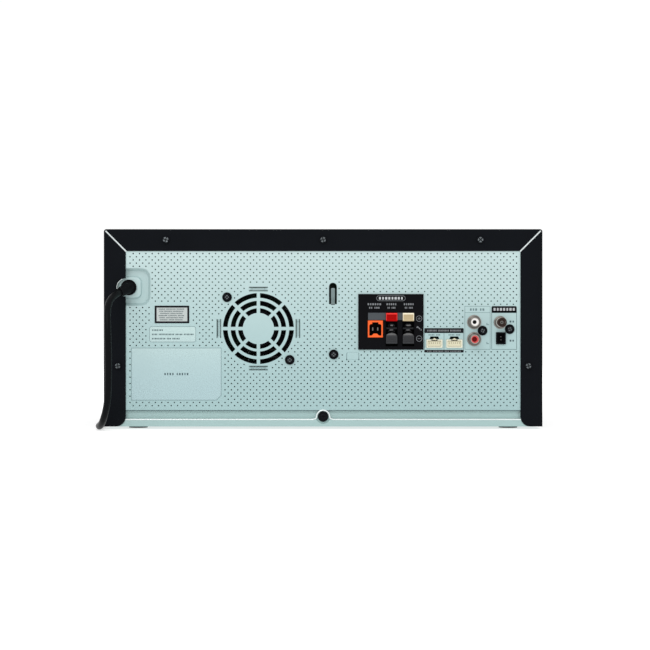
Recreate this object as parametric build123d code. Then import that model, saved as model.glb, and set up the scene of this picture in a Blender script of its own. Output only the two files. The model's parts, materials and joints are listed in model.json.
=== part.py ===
from build123d import *

import os
from math import acos, cos, pi, radians, sin, sqrt, tan

# Main unit of a mini hifi system: steel cabinet, moulded front, disc deck, amplifier, power supply and sockets.
# Millimetres, +Z up. The front faces -Y and the rear panel +Y. The origin is under the middle of the unit, on
# the surface that its feet stand on. Each sub-part is written to parts/NODE.step.

# ---------------------------------------------------------------- overall sizes
WIDTH = 420.0
HEIGHT = 189.0  # cabinet, without the feet
DEPTH = 306.0  # front face to rear panel
FOOT_HEIGHT = 2.5
KNOB_PROUD = 16.0
SOCKET_PROUD = 10.0

HALF = WIDTH / 2
REAR = (DEPTH + KNOB_PROUD - SOCKET_PROUD) / 2  # outer face of the rear panel
FRONT = REAR - DEPTH  # front face
BASE = FOOT_HEIGHT
TOP = BASE + HEIGHT

# ---------------------------------------------------------------- sheet metal
COVER_SHEET = 0.8
PANEL_SHEET = 0.8
CHASSIS_SHEET = 1.0
SHEET_FIT = 0.2  # gap between the cover and what it wraps
COVER_BEND = 2.5
FLANGE = 21.0  # the cover's rear flange, top and sides
FLANGE_CORNER = 9.6
FLANGE_NOTCH_R = 8.8  # clears the cord's boot
MITRE_GAP = 1.3
LIP_HEIGHT = 6.7  # the chassis lip under the rear panel
LIP_RECESS = 2.6
PANEL_LIFT = 15.5  # rear panel's lower edge above the cabinet's bottom
SCREW_BORE = 1.7

PANEL_IN = REAR - PANEL_SHEET  # inner face of the rear panel
INNER_HALF = HALF - COVER_SHEET - SHEET_FIT
PANEL_BOTTOM = BASE + PANEL_LIFT
LIP_TOP = BASE + LIP_HEIGHT
FLOOR = BASE + CHASSIS_SHEET  # upper face of the chassis floor
CEILING = TOP - COVER_SHEET - SHEET_FIT

# ---------------------------------------------------------------- front moulding
FASCIA_DEPTH = 34.0
FASCIA_WALL = 2.8
FASCIA_ROUND = 4.0
CABINET_FRONT = FRONT + FASCIA_DEPTH
MOVE_GAP = 0.35  # between a moving piece and its opening
SHAFT_R, SHAFT_FIT = 3.0, 0.05  # control shafts, and the running clearance of every shaft

# ---------------------------------------------------------------- fan
FAN_SIZE = 70.0
FAN_PITCH = 60.0
FAN_DEPTH = 15.0
FAN_BORE = 33.0
FAN_X = 62.0
FAN_Z = BASE + 93.8
GRILLE_RINGS = ((29.5, 34.0), (22.0, 26.6), (15.0, 19.5))
GRILLE_SPOKE = 3.2
LANCE_LENGTH = 18.2
LANCE_WIDTH = 3.7
LANCE_DEPTH = 2.6
FAN_HUB = 18.0
FAN_SHAFT = 1.5
SCREW_R, HEAD_R = 1.5, 2.9

# ---------------------------------------------------------------- rear sockets, from the -X side
SIDE = -HALF
TERMINAL_X = SIDE + 145.1  # middle of the speaker terminal plate
TERMINAL_Z = BASE + 100.2
TERMINAL_W, TERMINAL_H, TERMINAL_T = 62.5, 53.3, 1.2
LEVER_W, LEVER_H, LEVER_GAP, LEVER_PIN = 10.6, 8.0, 0.4, 1.2
LEVER_SPACE = 5.4  # between the two columns of levers
LEVER_COLUMNS = (TERMINAL_X - 0.7 - LEVER_W - LEVER_SPACE, TERMINAL_X - 0.7)
LEVER_ROWS = (TERMINAL_Z + 4.6, TERMINAL_Z - 17.0)
LEVER_PROUD, LEVER_BACK, LEVER_RIB = 3.2, 3.8, 0.6
AXLE_R, AXLE_FIT, AXLE_IN = 1.0, 0.05, 3.2  # the axle's centre is this far in from the panel's face
WOOFER_X, WOOFER_Z = TERMINAL_X + 14.9, TERMINAL_Z - 6.8
WOOFER_W, WOOFER_H = 14.4, 16.2
WOOFER_PROUD = 2.0
SOCKET_BODY = 12.0  # how far the plug sockets' bodies reach in
WELL_LEFT = LEVER_COLUMNS[0] - LEVER_W / 2 - 0.3
WELL_RIGHT = WOOFER_X + WOOFER_W / 2
WELL_W, WELL_H = WELL_RIGHT - WELL_LEFT, 32.4
WELL_X, WELL_Z = (WELL_LEFT + WELL_RIGHT) / 2, TERMINAL_Z - 7.2  # middle of the terminal block's sunk part
WELL_WALL = LEVER_PIN + LEVER_GAP + 0.4
WELL_DEPTH, WELL_BOSS = 7.0, 8.0  # depth of the sunk part, and of the moulding behind it
WIRE_R, WIRE_Z, WIRE_PITCH = 1.9, TERMINAL_Z - 6.2, 6.2
LIGHT_X = (SIDE + 84.3, SIDE + 103.4)
LIGHT_Z = BASE + 79.4
LIGHT_W, LIGHT_H, LIGHT_WALL, LIGHT_PROUD = 15.2, 7.7, 1.0, 1.5
LIGHT_WAYS, LIGHT_PITCH = 5, 2.5
LATCH_W, LATCH_H = 9.4, 3.0  # notch over each light socket
PHONO_X = SIDE + 65.3
PHONO_Z = (BASE + 100.0, BASE + 83.6)
PHONO_R, PHONO_WALL, PHONO_BORE, PHONO_COLLAR = 4.15, 0.5, 1.6, 6.7
AERIAL_X, AERIAL_Z = SIDE + 40.3, BASE + 99.7
AERIAL_R, AERIAL_WALL, AERIAL_PIN, AERIAL_COLLAR = 4.75, 0.7, 1.1, 6.1
COLLAR_IN, COLLAR_PROUD = 1.5, 0.9
HOUSING_DEPTH = 13.0
LOOP_X, LOOP_Z = SIDE + 39.7, BASE + 84.5
LOOP_W, LOOP_H, LOOP_WALL = 9.1, 11.2, 1.2
SOCKET_FIT = 0.2  # between a socket and its opening in the panel
INPUT_BOARD_Z = BASE + 71.5
GLAND_X, GLAND_Z = HALF - 23.6, BASE + 133.2
GLAND_R, GLAND_FLANGE, BOOT_R = 7.5, 2.4, 6.0
POCKET_W, POCKET_H, POCKET_DEPTH = 37.4, 36.4, 5.0
POCKET_X, POCKET_Z, POCKET_ROUND = GLAND_X - 2.4, GLAND_Z + 0.4, 9.0
GLAND_SEAT, GLAND_NECK = 2.4, 5.6  # height of the seat over the pocket's floor, radius of the gland's neck
SEAT_W, SEAT_H = 23.0, 19.6
HOOK_X, HOOK_Z = -9.4, BASE + 127.4
HOOK_W, HOOK_H = 7.5, 20.6
TONGUE_W, TONGUE_OUT = 3.7, 4.0
PAD_X, PAD_Z, PAD_W, PAD_H = -28.4, BASE + 67.6, 12.0, 7.2

# Rear panel screws with washers: (x, z)
FAN_SCREWS = ((FAN_X + FAN_PITCH / 2, FAN_Z + FAN_PITCH / 2), (FAN_X - FAN_PITCH / 2, FAN_Z - FAN_PITCH / 2))
MIDDLE_SCREW = (-10.1, BASE + 69.0)
PHONO_SCREW = (PHONO_X - 8.0, (PHONO_Z[0] + PHONO_Z[1]) / 2)
AERIAL_SCREW = (AERIAL_X - 9.0, AERIAL_Z - 6.5)
LIP_SCREW = (0.0, BASE + 9.4)
LIP_DISH = 6.9
COVER_SCREW_Z = TOP - 10.2
COVER_SCREW_X = 150.5
SIDE_SCREW = (HALF - 13.6, BASE + 58.1)

# ---------------------------------------------------------------- disc deck
TRAY_W = 128.0
TRAY_SHEET = 2.0
TRAY_FLOOR, TRAY_TOP = BASE + 95.5, BASE + 101.5
TRAY_LENGTH = 182.0
TRAY_UNDER = TRAY_FLOOR - TRAY_SHEET
RAIL_GAP, DECK_GAP, DRAWER_GAP = 0.35, 0.5, 1.0
DISC_Y = FRONT + 70.0
DISC_POCKET, SMALL_DISC_POCKET, SMALL_DISC_STEP = 60.5, 41.0, 0.8
TRAY_SLOT = 39.0
DECK_BASE = BASE + 82.5  # underside of the deck frame
DECK_FLOOR = DECK_BASE + 2.0
DECK_WALL = 3.0
DECK_BACK = FRONT + 212.0
DECK_FRONT = CABINET_FRONT + 2.0
TRAY_FRONT_Y = FRONT + 6.0
BRIDGE_Z = BASE + 113.5
TRAVERSE_Z, TRAVERSE_T = BASE + 87.5, 1.5
TRAVERSE_X = (-29.0, 40.0)
SEAT_Z = BASE + 97.0  # the disc's underside on the turntable
PUCK_NECK = 7.0
ROD_X, ROD_Z, ROD_R = 20.0, BASE + 90.6, 1.5
GEAR_MODULE, GEAR_TEETH = 1.0, 16
GEAR_R = GEAR_MODULE * GEAR_TEETH / 2
GEAR_BORE, BACKLASH, RACK_H = 1.6, 0.3, 3.6
RACK_X = -50.0  # pitch line of the tray's rack
GEAR_X, GEAR_Y = RACK_X + GEAR_R, FRONT + 50.0
PULLEY_R, MOTOR_PULLEY_R = 11.0, 2.75
MOTOR_X, MOTOR_Y = -50.0, FRONT + 86.0
BELT_GAP = 0.3
SLED_Y, SLED_L, SLED_TRAVEL = DISC_Y + 20.0, 34.0, 30.0
SLED_MODULE, SLED_TEETH = 0.6, 18
SLED_GEAR_R = SLED_MODULE * SLED_TEETH / 2
SLED_GEAR_X, SLED_GEAR_Y = ROD_X + 6.2 + SLED_GEAR_R, SLED_Y + 45.0
DECK_OUTER = TRAY_W / 2 + DECK_GAP + DECK_WALL
BRIDGE_W, BRIDGE_T = 24.0, 1.2
BRACKET_X, BRACKET_T = DECK_OUTER + 7.5, 1.2
WHEEL_TOP = TRAY_UNDER - RAIL_GAP - 0.2
BELT_Z = (WHEEL_TOP - 6.6, WHEEL_TOP - 5.4)

# ---------------------------------------------------------------- boards
BOARD = 1.6
STANDOFF = 8.0
BOARD_Z = FLOOR + STANDOFF
SINK_TOP, SINK_PITCH, SINK_FIN = BASE + 104.0, 7.0, 1.6
POST_R, BOARD_SCREW_R, BOARD_INSET = 3.2, 1.3, 5.0
BOARD_CLEAR = 9.0  # from a deck bracket to the boards on each side of it
FOOT_R, FOOT_INSET = 9.0, 30.0
LABEL_T = 0.15
PLATE_X, PLATE_Z, PLATE_W, PLATE_H = 140.6, BASE + 50.2, 86.2, 50.2  # rating plate
PLATE_CUT = 4.8
NOTICE_X, NOTICE_Z, NOTICE_W, NOTICE_H = 144.1, BASE + 88.3, 44.4, 15.0
WARNING_X, WARNING_Z, WARNING_W, WARNING_H = 144.8, BASE + 107.3, 33.2, 16.9

# ---------------------------------------------------------------- front controls: (x, z)
DIAL_R = 36.0
DIAL_RING_IN, DIAL_RING_OUT = DIAL_R + 1.0, DIAL_R + 6.0
RING_PROUD, RING_SUNK = 0.8, 1.2
DIAL_Z = BASE + 108.0
DIAL_X = HALF - 62.0
WINDOW_W, WINDOW_H, WINDOW_Z = 196.0, 44.0, BASE + 150.0
DRAWER_W, DRAWER_H, DRAWER_PROUD = TRAY_W + 16.0, 22.0, 0.6
DRAWER_Z = (TRAY_FLOOR + TRAY_TOP) / 2 + 1.0
KEY_W, KEY_H, KEY_Z = 24.0, 10.0, BASE + 66.0
KEY_PITCH = KEY_W + 5.0
KEY_TRAVEL, KEY_PROUD = 1.2, 2.2
KEY_NAMES = ("eject_button", "source_button", "back_button", "play_button", "next_button")
POWER_X, POWER_Z, POWER_R = -DIAL_X, BASE + 40.0, 9.0
USB_X, USB_Z = (-62.0, -34.0), BASE + 32.0
MIC_X, MIC_Z, MIC_BORE = (34.0, 62.0), BASE + 32.0, 3.2
LEVEL_X, LEVEL_R, LEVEL_PROUD = 98.0, 9.0, 12.0
FRONT_BOARD_Y = FRONT + 18.0
WINDOW_T, WINDOW_LEDGE = 1.6, 4.0
USB_W, USB_H = 13.2, 5.8
MIC_COLLAR, BUSH_R, SWITCH_H = 6.5, 4.5, 4.3
KNOB_GAP, KNOB_FACE = 0.8, 3.5  # gap to the front, and thickness of a knob's face

# ---------------------------------------------------------------- mains cord
CORD_R = 3.25
BOOT_END = (GLAND_X + 6.8, REAR + 21.0, GLAND_Z - 5.6)
CORD_ROUTE = (
    BOOT_END,
    (196.4, 189.3, 127.2),
    (198.6, 200.9, 119.6),
    (199.8, 209.2, 107.2),
    (200.2, 212.2, 89.6),
    (199.7, 212.8, 62.5),
    (200.3, 210.2, 35.2),
    (202.6, 205.6, 22.0),
    (206.4, 196.8, 11.9),
    (210.8, 184.2, 5.5),
    (214.4, 169.4, CORD_R),
    (215.6, 141.5, CORD_R),
    (214.9, 97.0, CORD_R),
    (216.6, 49.0, CORD_R),
    (215.2, -3.0, CORD_R),
    (217.2, -55.0, CORD_R),
    (215.6, -103.0, CORD_R),
    (217.9, -146.0, CORD_R),
    (215.0, -181.0, CORD_R),
    (210.9, -206.0, CORD_R),
)
COIL_X, COIL_Y, COIL_R = 171.5, -208.0, 36.0  # middle of the turns
COIL_SPREAD, COIL_H = 6.5, 13.0  # half the width of the wound turns, and their height
TIE_AT = 200.0
PLUG_X, PLUG_Y = 96.0, -242.0
PLUG_L, PLUG_W, PLUG_H, PLUG_ROUND, PLUG_NECK = 34.0, 26.0, 14.0, 5.0, 4.6
PIN_R, PIN_L, PIN_Y, PIN_ROOT_R, PIN_ROOT_L = 2.0, 19.0, (-9.3, 9.3), 2.8, 8.0
TAIL_ROUTE = (
    (165.5, -247.3, 9.7),
    (151.0, -247.9, 9.3),
    (136.6, -245.8, 8.2),
    (PLUG_X + 26.0, PLUG_Y, PLUG_H / 2),
)


# ================================================================ helpers
def block(x, y, z):
    """A box from (low, high) pairs."""
    size = (x[1] - x[0], y[1] - y[0], z[1] - z[0])
    return Pos((x[0] + x[1]) / 2, (y[0] + y[1]) / 2, (z[0] + z[1]) / 2) * Box(*size)


def middle(centre, size):
    """A (low, high) pair of a size about a centre."""
    return (centre - size / 2, centre + size / 2)


def rod_x(y, z, r, x):
    return Pos((x[0] + x[1]) / 2, y, z) * Rot(0, 90, 0) * Cylinder(r, x[1] - x[0])


def rod_y(x, z, r, y):
    return Pos(x, (y[0] + y[1]) / 2, z) * Rot(90, 0, 0) * Cylinder(r, y[1] - y[0])


def rod_z(x, y, r, z):
    return Pos(x, y, (z[0] + z[1]) / 2) * Cylinder(r, z[1] - z[0])


def upright(sketch, y, taper=0.0):
    """A sketch in X and Z made solid between two Y values, starting at the higher one."""
    plane = Plane(origin=(0, y[1], 0), x_dir=(1, 0, 0), z_dir=(0, -1, 0))
    return extrude(plane * sketch, amount=y[1] - y[0], taper=taper)


def level(sketch, z):
    """A sketch in X and Y made solid between two Z values."""
    return extrude(Pos(0, 0, z[0]) * sketch, amount=z[1] - z[0])


def profile(points, x):
    """A (y, z) outline made solid between two X values."""
    face = make_face(Polyline([(x[0], y, z) for y, z in points], close=True))
    return extrude(face, amount=x[1] - x[0], dir=(1, 0, 0))


def outline(points):
    return make_face(Polyline(*points, close=True))


# ================================================================ sheet metal
def base_chassis():
    """Pressed steel tray: floor, upstands, rear lip with a dished screw seat, standoffs and vents."""
    x = (-INNER_HALF, INNER_HALF)
    t = CHASSIS_SHEET
    wall_in, wall_out = REAR - LIP_RECESS - t, REAR - LIP_RECESS
    tray = block(x, (CABINET_FRONT, REAR), (BASE, FLOOR))
    tray += block(x, (REAR - t, REAR), (BASE, LIP_TOP))
    tray += block(x, (wall_in, REAR), (LIP_TOP - t, LIP_TOP))
    tray += block(x, (wall_in, wall_out), (LIP_TOP - t, PANEL_BOTTOM + 8))
    tray += block(x, (CABINET_FRONT, CABINET_FRONT + t), (BASE, BASE + 16))
    for side in (-1, 1):
        edge = sorted((side * INNER_HALF, side * (INNER_HALF - t)))
        tray += block(edge, (CABINET_FRONT, wall_in), (BASE, BASE + 14))
    sx, sz = LIP_SCREW
    dish = rod_y(sx, sz, LIP_DISH, (wall_out, REAR + 1))
    cup = rod_y(sx, sz, LIP_DISH + t, (wall_in, REAR)) & block(x, (wall_in, REAR), (FLOOR, LIP_TOP))
    tray = tray + cup - dish - rod_y(sx, sz, SCREW_BORE, (wall_in - 1, REAR + 1))
    for px, py in standoff_places():
        tray += rod_z(px, py, POST_R, (BASE, BOARD_Z))
    vents = [
        Pos(vx, vy) * SlotOverall(38, 3.2, rotation=90)
        for vy in (-40, 30)
        for vx in [side * (96 + 8 * i) for side in (-1, 1) for i in range(9)]
    ]
    tray -= level(Sketch() + vents, (BASE - 1, FLOOR + 1))
    screw_holes = [rod_z(px, py, BOARD_SCREW_R, (BASE + 3, BOARD_Z + 1)) for px, py in standoff_places()]
    return tray - screw_holes


BOARDS = {
    "main": ((-INNER_HALF + 8, -BRACKET_X - BOARD_CLEAR), (FRONT + 58.0, REAR - 18.0)),
    "amp": ((-BRACKET_X + BOARD_CLEAR, BRACKET_X - BOARD_CLEAR), (FRONT + 90.0, REAR - 18.0)),
    "power": ((BRACKET_X + BOARD_CLEAR, INNER_HALF - 8), (FRONT + 90.0, REAR - 18.0)),
}


def board_corners(name):
    (x0, x1), (y0, y1) = BOARDS[name]
    return [(x, y) for x in (x0 + BOARD_INSET, x1 - BOARD_INSET) for y in (y0 + BOARD_INSET, y1 - BOARD_INSET)]


def standoff_places():
    return [place for name in BOARDS for place in board_corners(name)]


def grille_sketch():
    """Three broken rings cut by eight spokes, centred on the fan."""
    rings = Sketch()
    for low, high in GRILLE_RINGS:
        rings += Circle(high) - Circle(low)
    reach = 2 * GRILLE_RINGS[0][1] + 2
    for i in range(4):
        rings -= Rectangle(reach, GRILLE_SPOKE, rotation=45 * i)
    return Pos(FAN_X, FAN_Z) * rings


def lances():
    """(centre x, centre z, upright?) of the four pressed bridges that locate the fan."""
    reach = FAN_SIZE / 2 + 1.0 + LANCE_WIDTH / 2
    return (
        (FAN_X - reach, FAN_Z, True),
        (FAN_X + reach, FAN_Z, True),
        (FAN_X, FAN_Z - reach, False),
        (FAN_X, FAN_Z + reach, False),
    )


def lance_strip(x, z, tall):
    """A strip pressed inwards between two slits, as a bridge."""
    t, d, half = PANEL_SHEET, LANCE_DEPTH, LANCE_LENGTH / 2
    ramp = 3.5
    width = LANCE_WIDTH - 1.5
    pts = [(-half - 0.4, 0), (-half, 0), (-half + ramp, -d), (half - ramp, -d), (half, 0), (half + 0.4, 0)]
    pts += [(half + 0.4, -t), (half - 0.3, -t), (half - ramp - 0.3, -d - t), (-half + ramp + 0.3, -d - t)]
    pts += [(-half + 0.3, -t), (-half - 0.4, -t)]
    strip = profile([(REAR + y, along) for along, y in pts], middle(0, width))
    if not tall:
        strip = Rot(0, 90, 0) * strip
    return Pos(x, 0, z) * strip


def socket_cuts():
    """Openings in the rear panel for the sockets, as one sketch in X and Z."""
    fit = 2 * SOCKET_FIT
    tub = 2 * WELL_WALL + fit
    cuts = Sketch() + Pos(WELL_X, WELL_Z) * Rectangle(WELL_W + tub, WELL_H + tub)
    for x in LIGHT_X:
        cuts += Pos(x, LIGHT_Z) * Rectangle(LIGHT_W + fit, LIGHT_H + fit)
        cuts += Pos(x, LIGHT_Z + (LIGHT_H + LATCH_H) / 2) * Trapezoid(LATCH_W, LATCH_H, 72)
    for z in PHONO_Z:
        cuts += Pos(PHONO_X, z) * Circle(PHONO_COLLAR + SOCKET_FIT)
    cuts += Pos(AERIAL_X, AERIAL_Z) * Circle(AERIAL_COLLAR + SOCKET_FIT)
    cuts += Pos(LOOP_X, LOOP_Z) * Rectangle(LOOP_W + fit, LOOP_H + fit)
    return cuts


def rear_panel():
    """Steel panel with grille, fan-locating bridges, cord pocket, cable hook and socket openings."""
    low, high = PANEL_BOTTOM, CEILING
    face = Pos(0, (low + high) / 2) * Rectangle(2 * INNER_HALF, high - low)
    face = fillet(face.vertices().group_by(Axis.Y)[-1], COVER_BEND)
    face -= grille_sketch() + socket_cuts()
    for x, z, tall in lances():
        size = (LANCE_WIDTH, LANCE_LENGTH) if tall else (LANCE_LENGTH, LANCE_WIDTH)
        face -= Pos(x, z) * Rectangle(*size)
    screws = [*FAN_SCREWS, MIDDLE_SCREW, PHONO_SCREW, AERIAL_SCREW]
    screws += [(sx, COVER_SCREW_Z) for sx in (-COVER_SCREW_X, 0, COVER_SCREW_X)]
    screws += [(side * SIDE_SCREW[0], SIDE_SCREW[1]) for side in (-1, 1)]
    for x, z in screws:
        face -= Pos(x, z) * Circle(SCREW_BORE)
    slot = Pos(HOOK_X, HOOK_Z) * Rectangle(HOOK_W, HOOK_H) - hook_corners()
    panel = upright(face - slot, (PANEL_IN, REAR))
    panel += block((-INNER_HALF, INNER_HALF), (REAR - LIP_RECESS, REAR), (low, low + PANEL_SHEET))
    for lance in lances():
        panel += lance_strip(*lance)
    return press_cord_pocket(panel) + cable_hook() + knockout_pad()


def hook_corners():
    """What rounds the slot's upper end into an arch."""
    r = HOOK_W / 2
    top = HOOK_Z + HOOK_H / 2
    return Pos(HOOK_X, top - r / 2) * Rectangle(HOOK_W, r) - Pos(HOOK_X, top - r) * Circle(r)


def press_cord_pocket(panel):
    """Drafted pocket pressed into the panel, with a raised seat for the cord gland."""
    t, draft = PANEL_SHEET, 28.0
    floor = REAR - POCKET_DEPTH
    place = Pos(POCKET_X, POCKET_Z)
    cup = upright(place * RectangleRounded(POCKET_W, POCKET_H, POCKET_ROUND), (floor - t, REAR), draft)
    inset = t * 1.15
    hollow = RectangleRounded(POCKET_W - 2 * inset, POCKET_H - 2 * inset, POCKET_ROUND - inset)
    pressed = panel + cup - upright(place * hollow, (floor, REAR), draft)
    footprint = Pos(GLAND_X, -GLAND_Z) * RectangleRounded(SEAT_W, SEAT_H, 5.0)
    base = Plane(origin=(0, floor - t, 0), x_dir=(1, 0, 0), z_dir=(0, 1, 0))
    seat = extrude(base * footprint, amount=GLAND_SEAT + t, taper=20.0)
    return pressed + seat - rod_y(GLAND_X, GLAND_Z, GLAND_NECK, (floor - 5, REAR + 5))


def cable_hook():
    """Tongue that steps outwards from the slot's lower end."""
    bottom, t, out = HOOK_Z - HOOK_H / 2, PANEL_SHEET, TONGUE_OUT
    pts = [(REAR, bottom - 1), (REAR, bottom + 1.2), (REAR + out, bottom + 6.2), (REAR + out, bottom + 15.4)]
    pts += [(REAR + out - t, bottom + 15.4), (REAR + out - t, bottom + 6.5), (PANEL_IN, bottom + 1.5)]
    pts += [(PANEL_IN, bottom - 1)]
    return profile(pts, middle(HOOK_X, TONGUE_W))


def knockout_pad():
    """Small half-sheared pad, a little proud of the panel."""
    return block(middle(PAD_X, PAD_W), (REAR - 0.1, REAR + 0.35), middle(PAD_Z, PAD_H))


def cover_outline(inset):
    """The cover's section: square below, rounded above."""
    w, r = WIDTH / 2 - inset, max(COVER_BEND - inset, 0.6)
    low, high = BASE, TOP - inset
    shape = Pos(0, (low + high) / 2) * Rectangle(2 * w, high - low)
    top_corners = shape.vertices().group_by(Axis.Y)[-1]
    return fillet(top_corners, r)


def top_cover():
    """Wrapped steel cover with mitred rear flanges that fold over the rear panel, and vent slots."""
    t = COVER_SHEET
    y = (CABINET_FRONT, REAR + t)
    shell = upright(cover_outline(0), y) - upright(cover_outline(t), (y[0] - 1, y[1] + 1))
    shell -= block((-HALF + t, HALF - t), (y[0] - 1, y[1] + 1), (BASE - 1, BASE + 20))
    gap = MITRE_GAP / sqrt(2)
    top_edge, side_edge = TOP - FLANGE, HALF - FLANGE
    top_flange = outline(
        [
            (-HALF + t / 2 + gap, TOP - t / 2),
            (HALF - t / 2 - gap, TOP - t / 2),
            (side_edge - gap, top_edge),
            (-side_edge + gap, top_edge),
        ]
    )
    flanges = top_flange
    for side in (-1, 1):
        pts = [
            (side * (HALF - t / 2), BASE),
            (side * (HALF - t / 2), TOP - t / 2 - gap),
            (side * side_edge, top_edge - gap),
            (side * side_edge, BASE),
        ]
        strip = outline(pts)
        corner = strip.vertices().sort_by(lambda v: abs(v.X - side * side_edge) + abs(v.Y - BASE))[0]
        flanges += fillet([corner], FLANGE_CORNER)
    flanges -= Pos(side_edge, GLAND_Z) * Circle(FLANGE_NOTCH_R)
    for x in (-COVER_SCREW_X, 0, COVER_SCREW_X):
        flanges -= Pos(x, COVER_SCREW_Z) * Circle(SCREW_BORE)
    for side in (-1, 1):
        flanges -= Pos(side * SIDE_SCREW[0], SIDE_SCREW[1]) * Circle(SCREW_BORE)
    shell += upright(flanges, (REAR, REAR + t))
    side_vents = Sketch() + [
        Pos(y, BASE + z) * SlotOverall(24, 2.8, rotation=90)
        for z in (72, 104)
        for y in [-70 + 8 * i for i in range(20)]
    ]
    through = extrude(Plane.YZ * side_vents, amount=HALF + 1, both=True)
    top_vents = Sketch() + [
        Pos(x, y) * SlotOverall(26, 2.8, rotation=90)
        for y in (62, 96)
        for x in [8 * i - 4 for i in range(-11, 13)]
    ]
    return shell - through - level(top_vents, (TOP - 5, TOP + 1))


# ================================================================ front
def round_front(y, inset=0.0):
    """Block the size of the front moulding, its front edges rounded."""
    low, high, half = BASE + inset, TOP - inset, HALF - inset
    body = block((-half, half), y, (low, high))
    return fillet(body.faces().sort_by(Axis.Y)[0].edges(), FASCIA_ROUND - inset / 2)


def key_places():
    return [((i - 2) * KEY_PITCH, KEY_Z) for i in range(len(KEY_NAMES))]


def fascia():
    """Moulded front shell with openings for window, drawer, keys, sockets and knobs."""
    shell = round_front((FRONT, CABINET_FRONT))
    shell -= round_front((FRONT + FASCIA_WALL, CABINET_FRONT + FASCIA_WALL), FASCIA_WALL)
    holes = Pos(0, WINDOW_Z) * RectangleRounded(WINDOW_W - 2 * WINDOW_LEDGE, WINDOW_H - 2 * WINDOW_LEDGE, 3)
    holes += Pos(0, DRAWER_Z) * Rectangle(DRAWER_W + 2 * DRAWER_GAP, DRAWER_H + 2 * DRAWER_GAP)
    for x, z in key_places():
        holes += Pos(x, z) * RectangleRounded(KEY_W + 2 * MOVE_GAP, KEY_H + 2 * MOVE_GAP, 2)
    holes += Pos(POWER_X, POWER_Z) * Circle(POWER_R + MOVE_GAP)
    for x in USB_X:
        holes += Pos(x, USB_Z) * Rectangle(USB_W + 0.4, USB_H + 0.4)
    for x in MIC_X:
        holes += Pos(x, MIC_Z) * Circle(MIC_COLLAR + 0.2)
    holes += Pos(LEVEL_X, MIC_Z) * Circle(BUSH_R + 0.3)
    holes += Pos(DIAL_X, DIAL_Z) * Circle(BUSH_R + 0.3)
    shell -= upright(holes, (FRONT - 1, FRONT + FASCIA_WALL + 1))
    rebate = Pos(0, WINDOW_Z) * RectangleRounded(WINDOW_W, WINDOW_H, 5)
    shell -= upright(rebate, (FRONT - 1, FRONT + WINDOW_T))
    ring = Pos(DIAL_X, DIAL_Z) * (Circle(DIAL_RING_OUT) - Circle(DIAL_RING_IN))
    return shell - upright(ring, (FRONT - 1, FRONT + RING_SUNK))


def display_window():
    return upright(Pos(0, WINDOW_Z) * RectangleRounded(WINDOW_W, WINDOW_H, 5), (FRONT, FRONT + WINDOW_T))


def dial_ring():
    """Light ring seated round the volume dial."""
    ring = Pos(DIAL_X, DIAL_Z) * (Circle(DIAL_RING_OUT) - Circle(DIAL_RING_IN))
    return upright(ring, (FRONT - RING_PROUD, FRONT + RING_SUNK))


def knob(x, z, r, proud, skirt):
    """Turned knob, hollow behind its face, with a boss bored for the shaft."""
    body = rod_y(x, z, r, (FRONT - proud, FRONT - KNOB_GAP))
    body = fillet(body.edges().filter_by(GeomType.CIRCLE).sort_by(Axis.Y)[0], 1.5)
    hollow = (FRONT - proud + KNOB_FACE, FRONT)
    body -= rod_y(x, z, r - skirt, hollow) - rod_y(x, z, SHAFT_R + 3, hollow)
    return body - rod_y(x, z, SHAFT_R, hollow)


def volume_dial():
    """Large knob with a fingertip dish in its face."""
    face = FRONT - KNOB_PROUD
    dish = rod_y(DIAL_X + DIAL_R * 0.62, DIAL_Z + DIAL_R * 0.35, 5.0, (face - 1, face + 0.8))
    return knob(DIAL_X, DIAL_Z, DIAL_R, KNOB_PROUD, 4.0) - dish


def level_knob():
    """Small knob with a pointer groove."""
    face = FRONT - LEVEL_PROUD
    line = block(middle(LEVEL_X, 1.2), (face - 1, face + 0.6), (MIC_Z + 2, MIC_Z + LEVEL_R + 1))
    return knob(LEVEL_X, MIC_Z, LEVEL_R, LEVEL_PROUD, 2.2) - line


def control_shaft(x, z, proud):
    return rod_y(x, z, SHAFT_R, (FRONT - proud + KNOB_FACE, FRONT_BOARD_Y - 2.5))


def control_bush(x, z):
    """Rotary control: square case on the board and the threaded bush that carries the shaft."""
    front = FRONT_BOARD_Y - 6.5
    case = block(middle(x, 12), (front, FRONT_BOARD_Y), middle(z, 12))
    case += rod_y(x, z, BUSH_R, (FRONT + 1.0, front))
    return case - rod_y(x, z, SHAFT_R + SHAFT_FIT, (FRONT - 1, FRONT_BOARD_Y - 1.5))


def plunger(cap, x, z, flange_w, flange_h):
    """A cap with a retaining flange behind the front wall and a stem to its switch."""
    back = FRONT + FASCIA_WALL + MOVE_GAP
    cap += block(middle(x, flange_w), (back, back + 1.2), middle(z, flange_h))
    return cap + rod_y(x, z, 2.0, (back + 1, FRONT_BOARD_Y - SWITCH_H - KEY_TRAVEL - MOVE_GAP))


def key(x, z):
    y = (FRONT - KEY_PROUD, FRONT + FASCIA_WALL + 0.5)
    cap = upright(Pos(x, z) * RectangleRounded(KEY_W, KEY_H, 1.7), y)
    cap = fillet(cap.faces().sort_by(Axis.Y)[0].edges(), 0.6)
    return plunger(cap, x, z, KEY_W + 1.4, KEY_H + 3.0)


def power_button():
    cap = rod_y(POWER_X, POWER_Z, POWER_R, (FRONT - KEY_PROUD, FRONT + FASCIA_WALL + 0.5))
    cap = fillet(cap.faces().sort_by(Axis.Y)[0].edges(), 0.6)
    return plunger(cap, POWER_X, POWER_Z, 2 * POWER_R + 2.4, 2 * POWER_R + 2.4)


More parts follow.
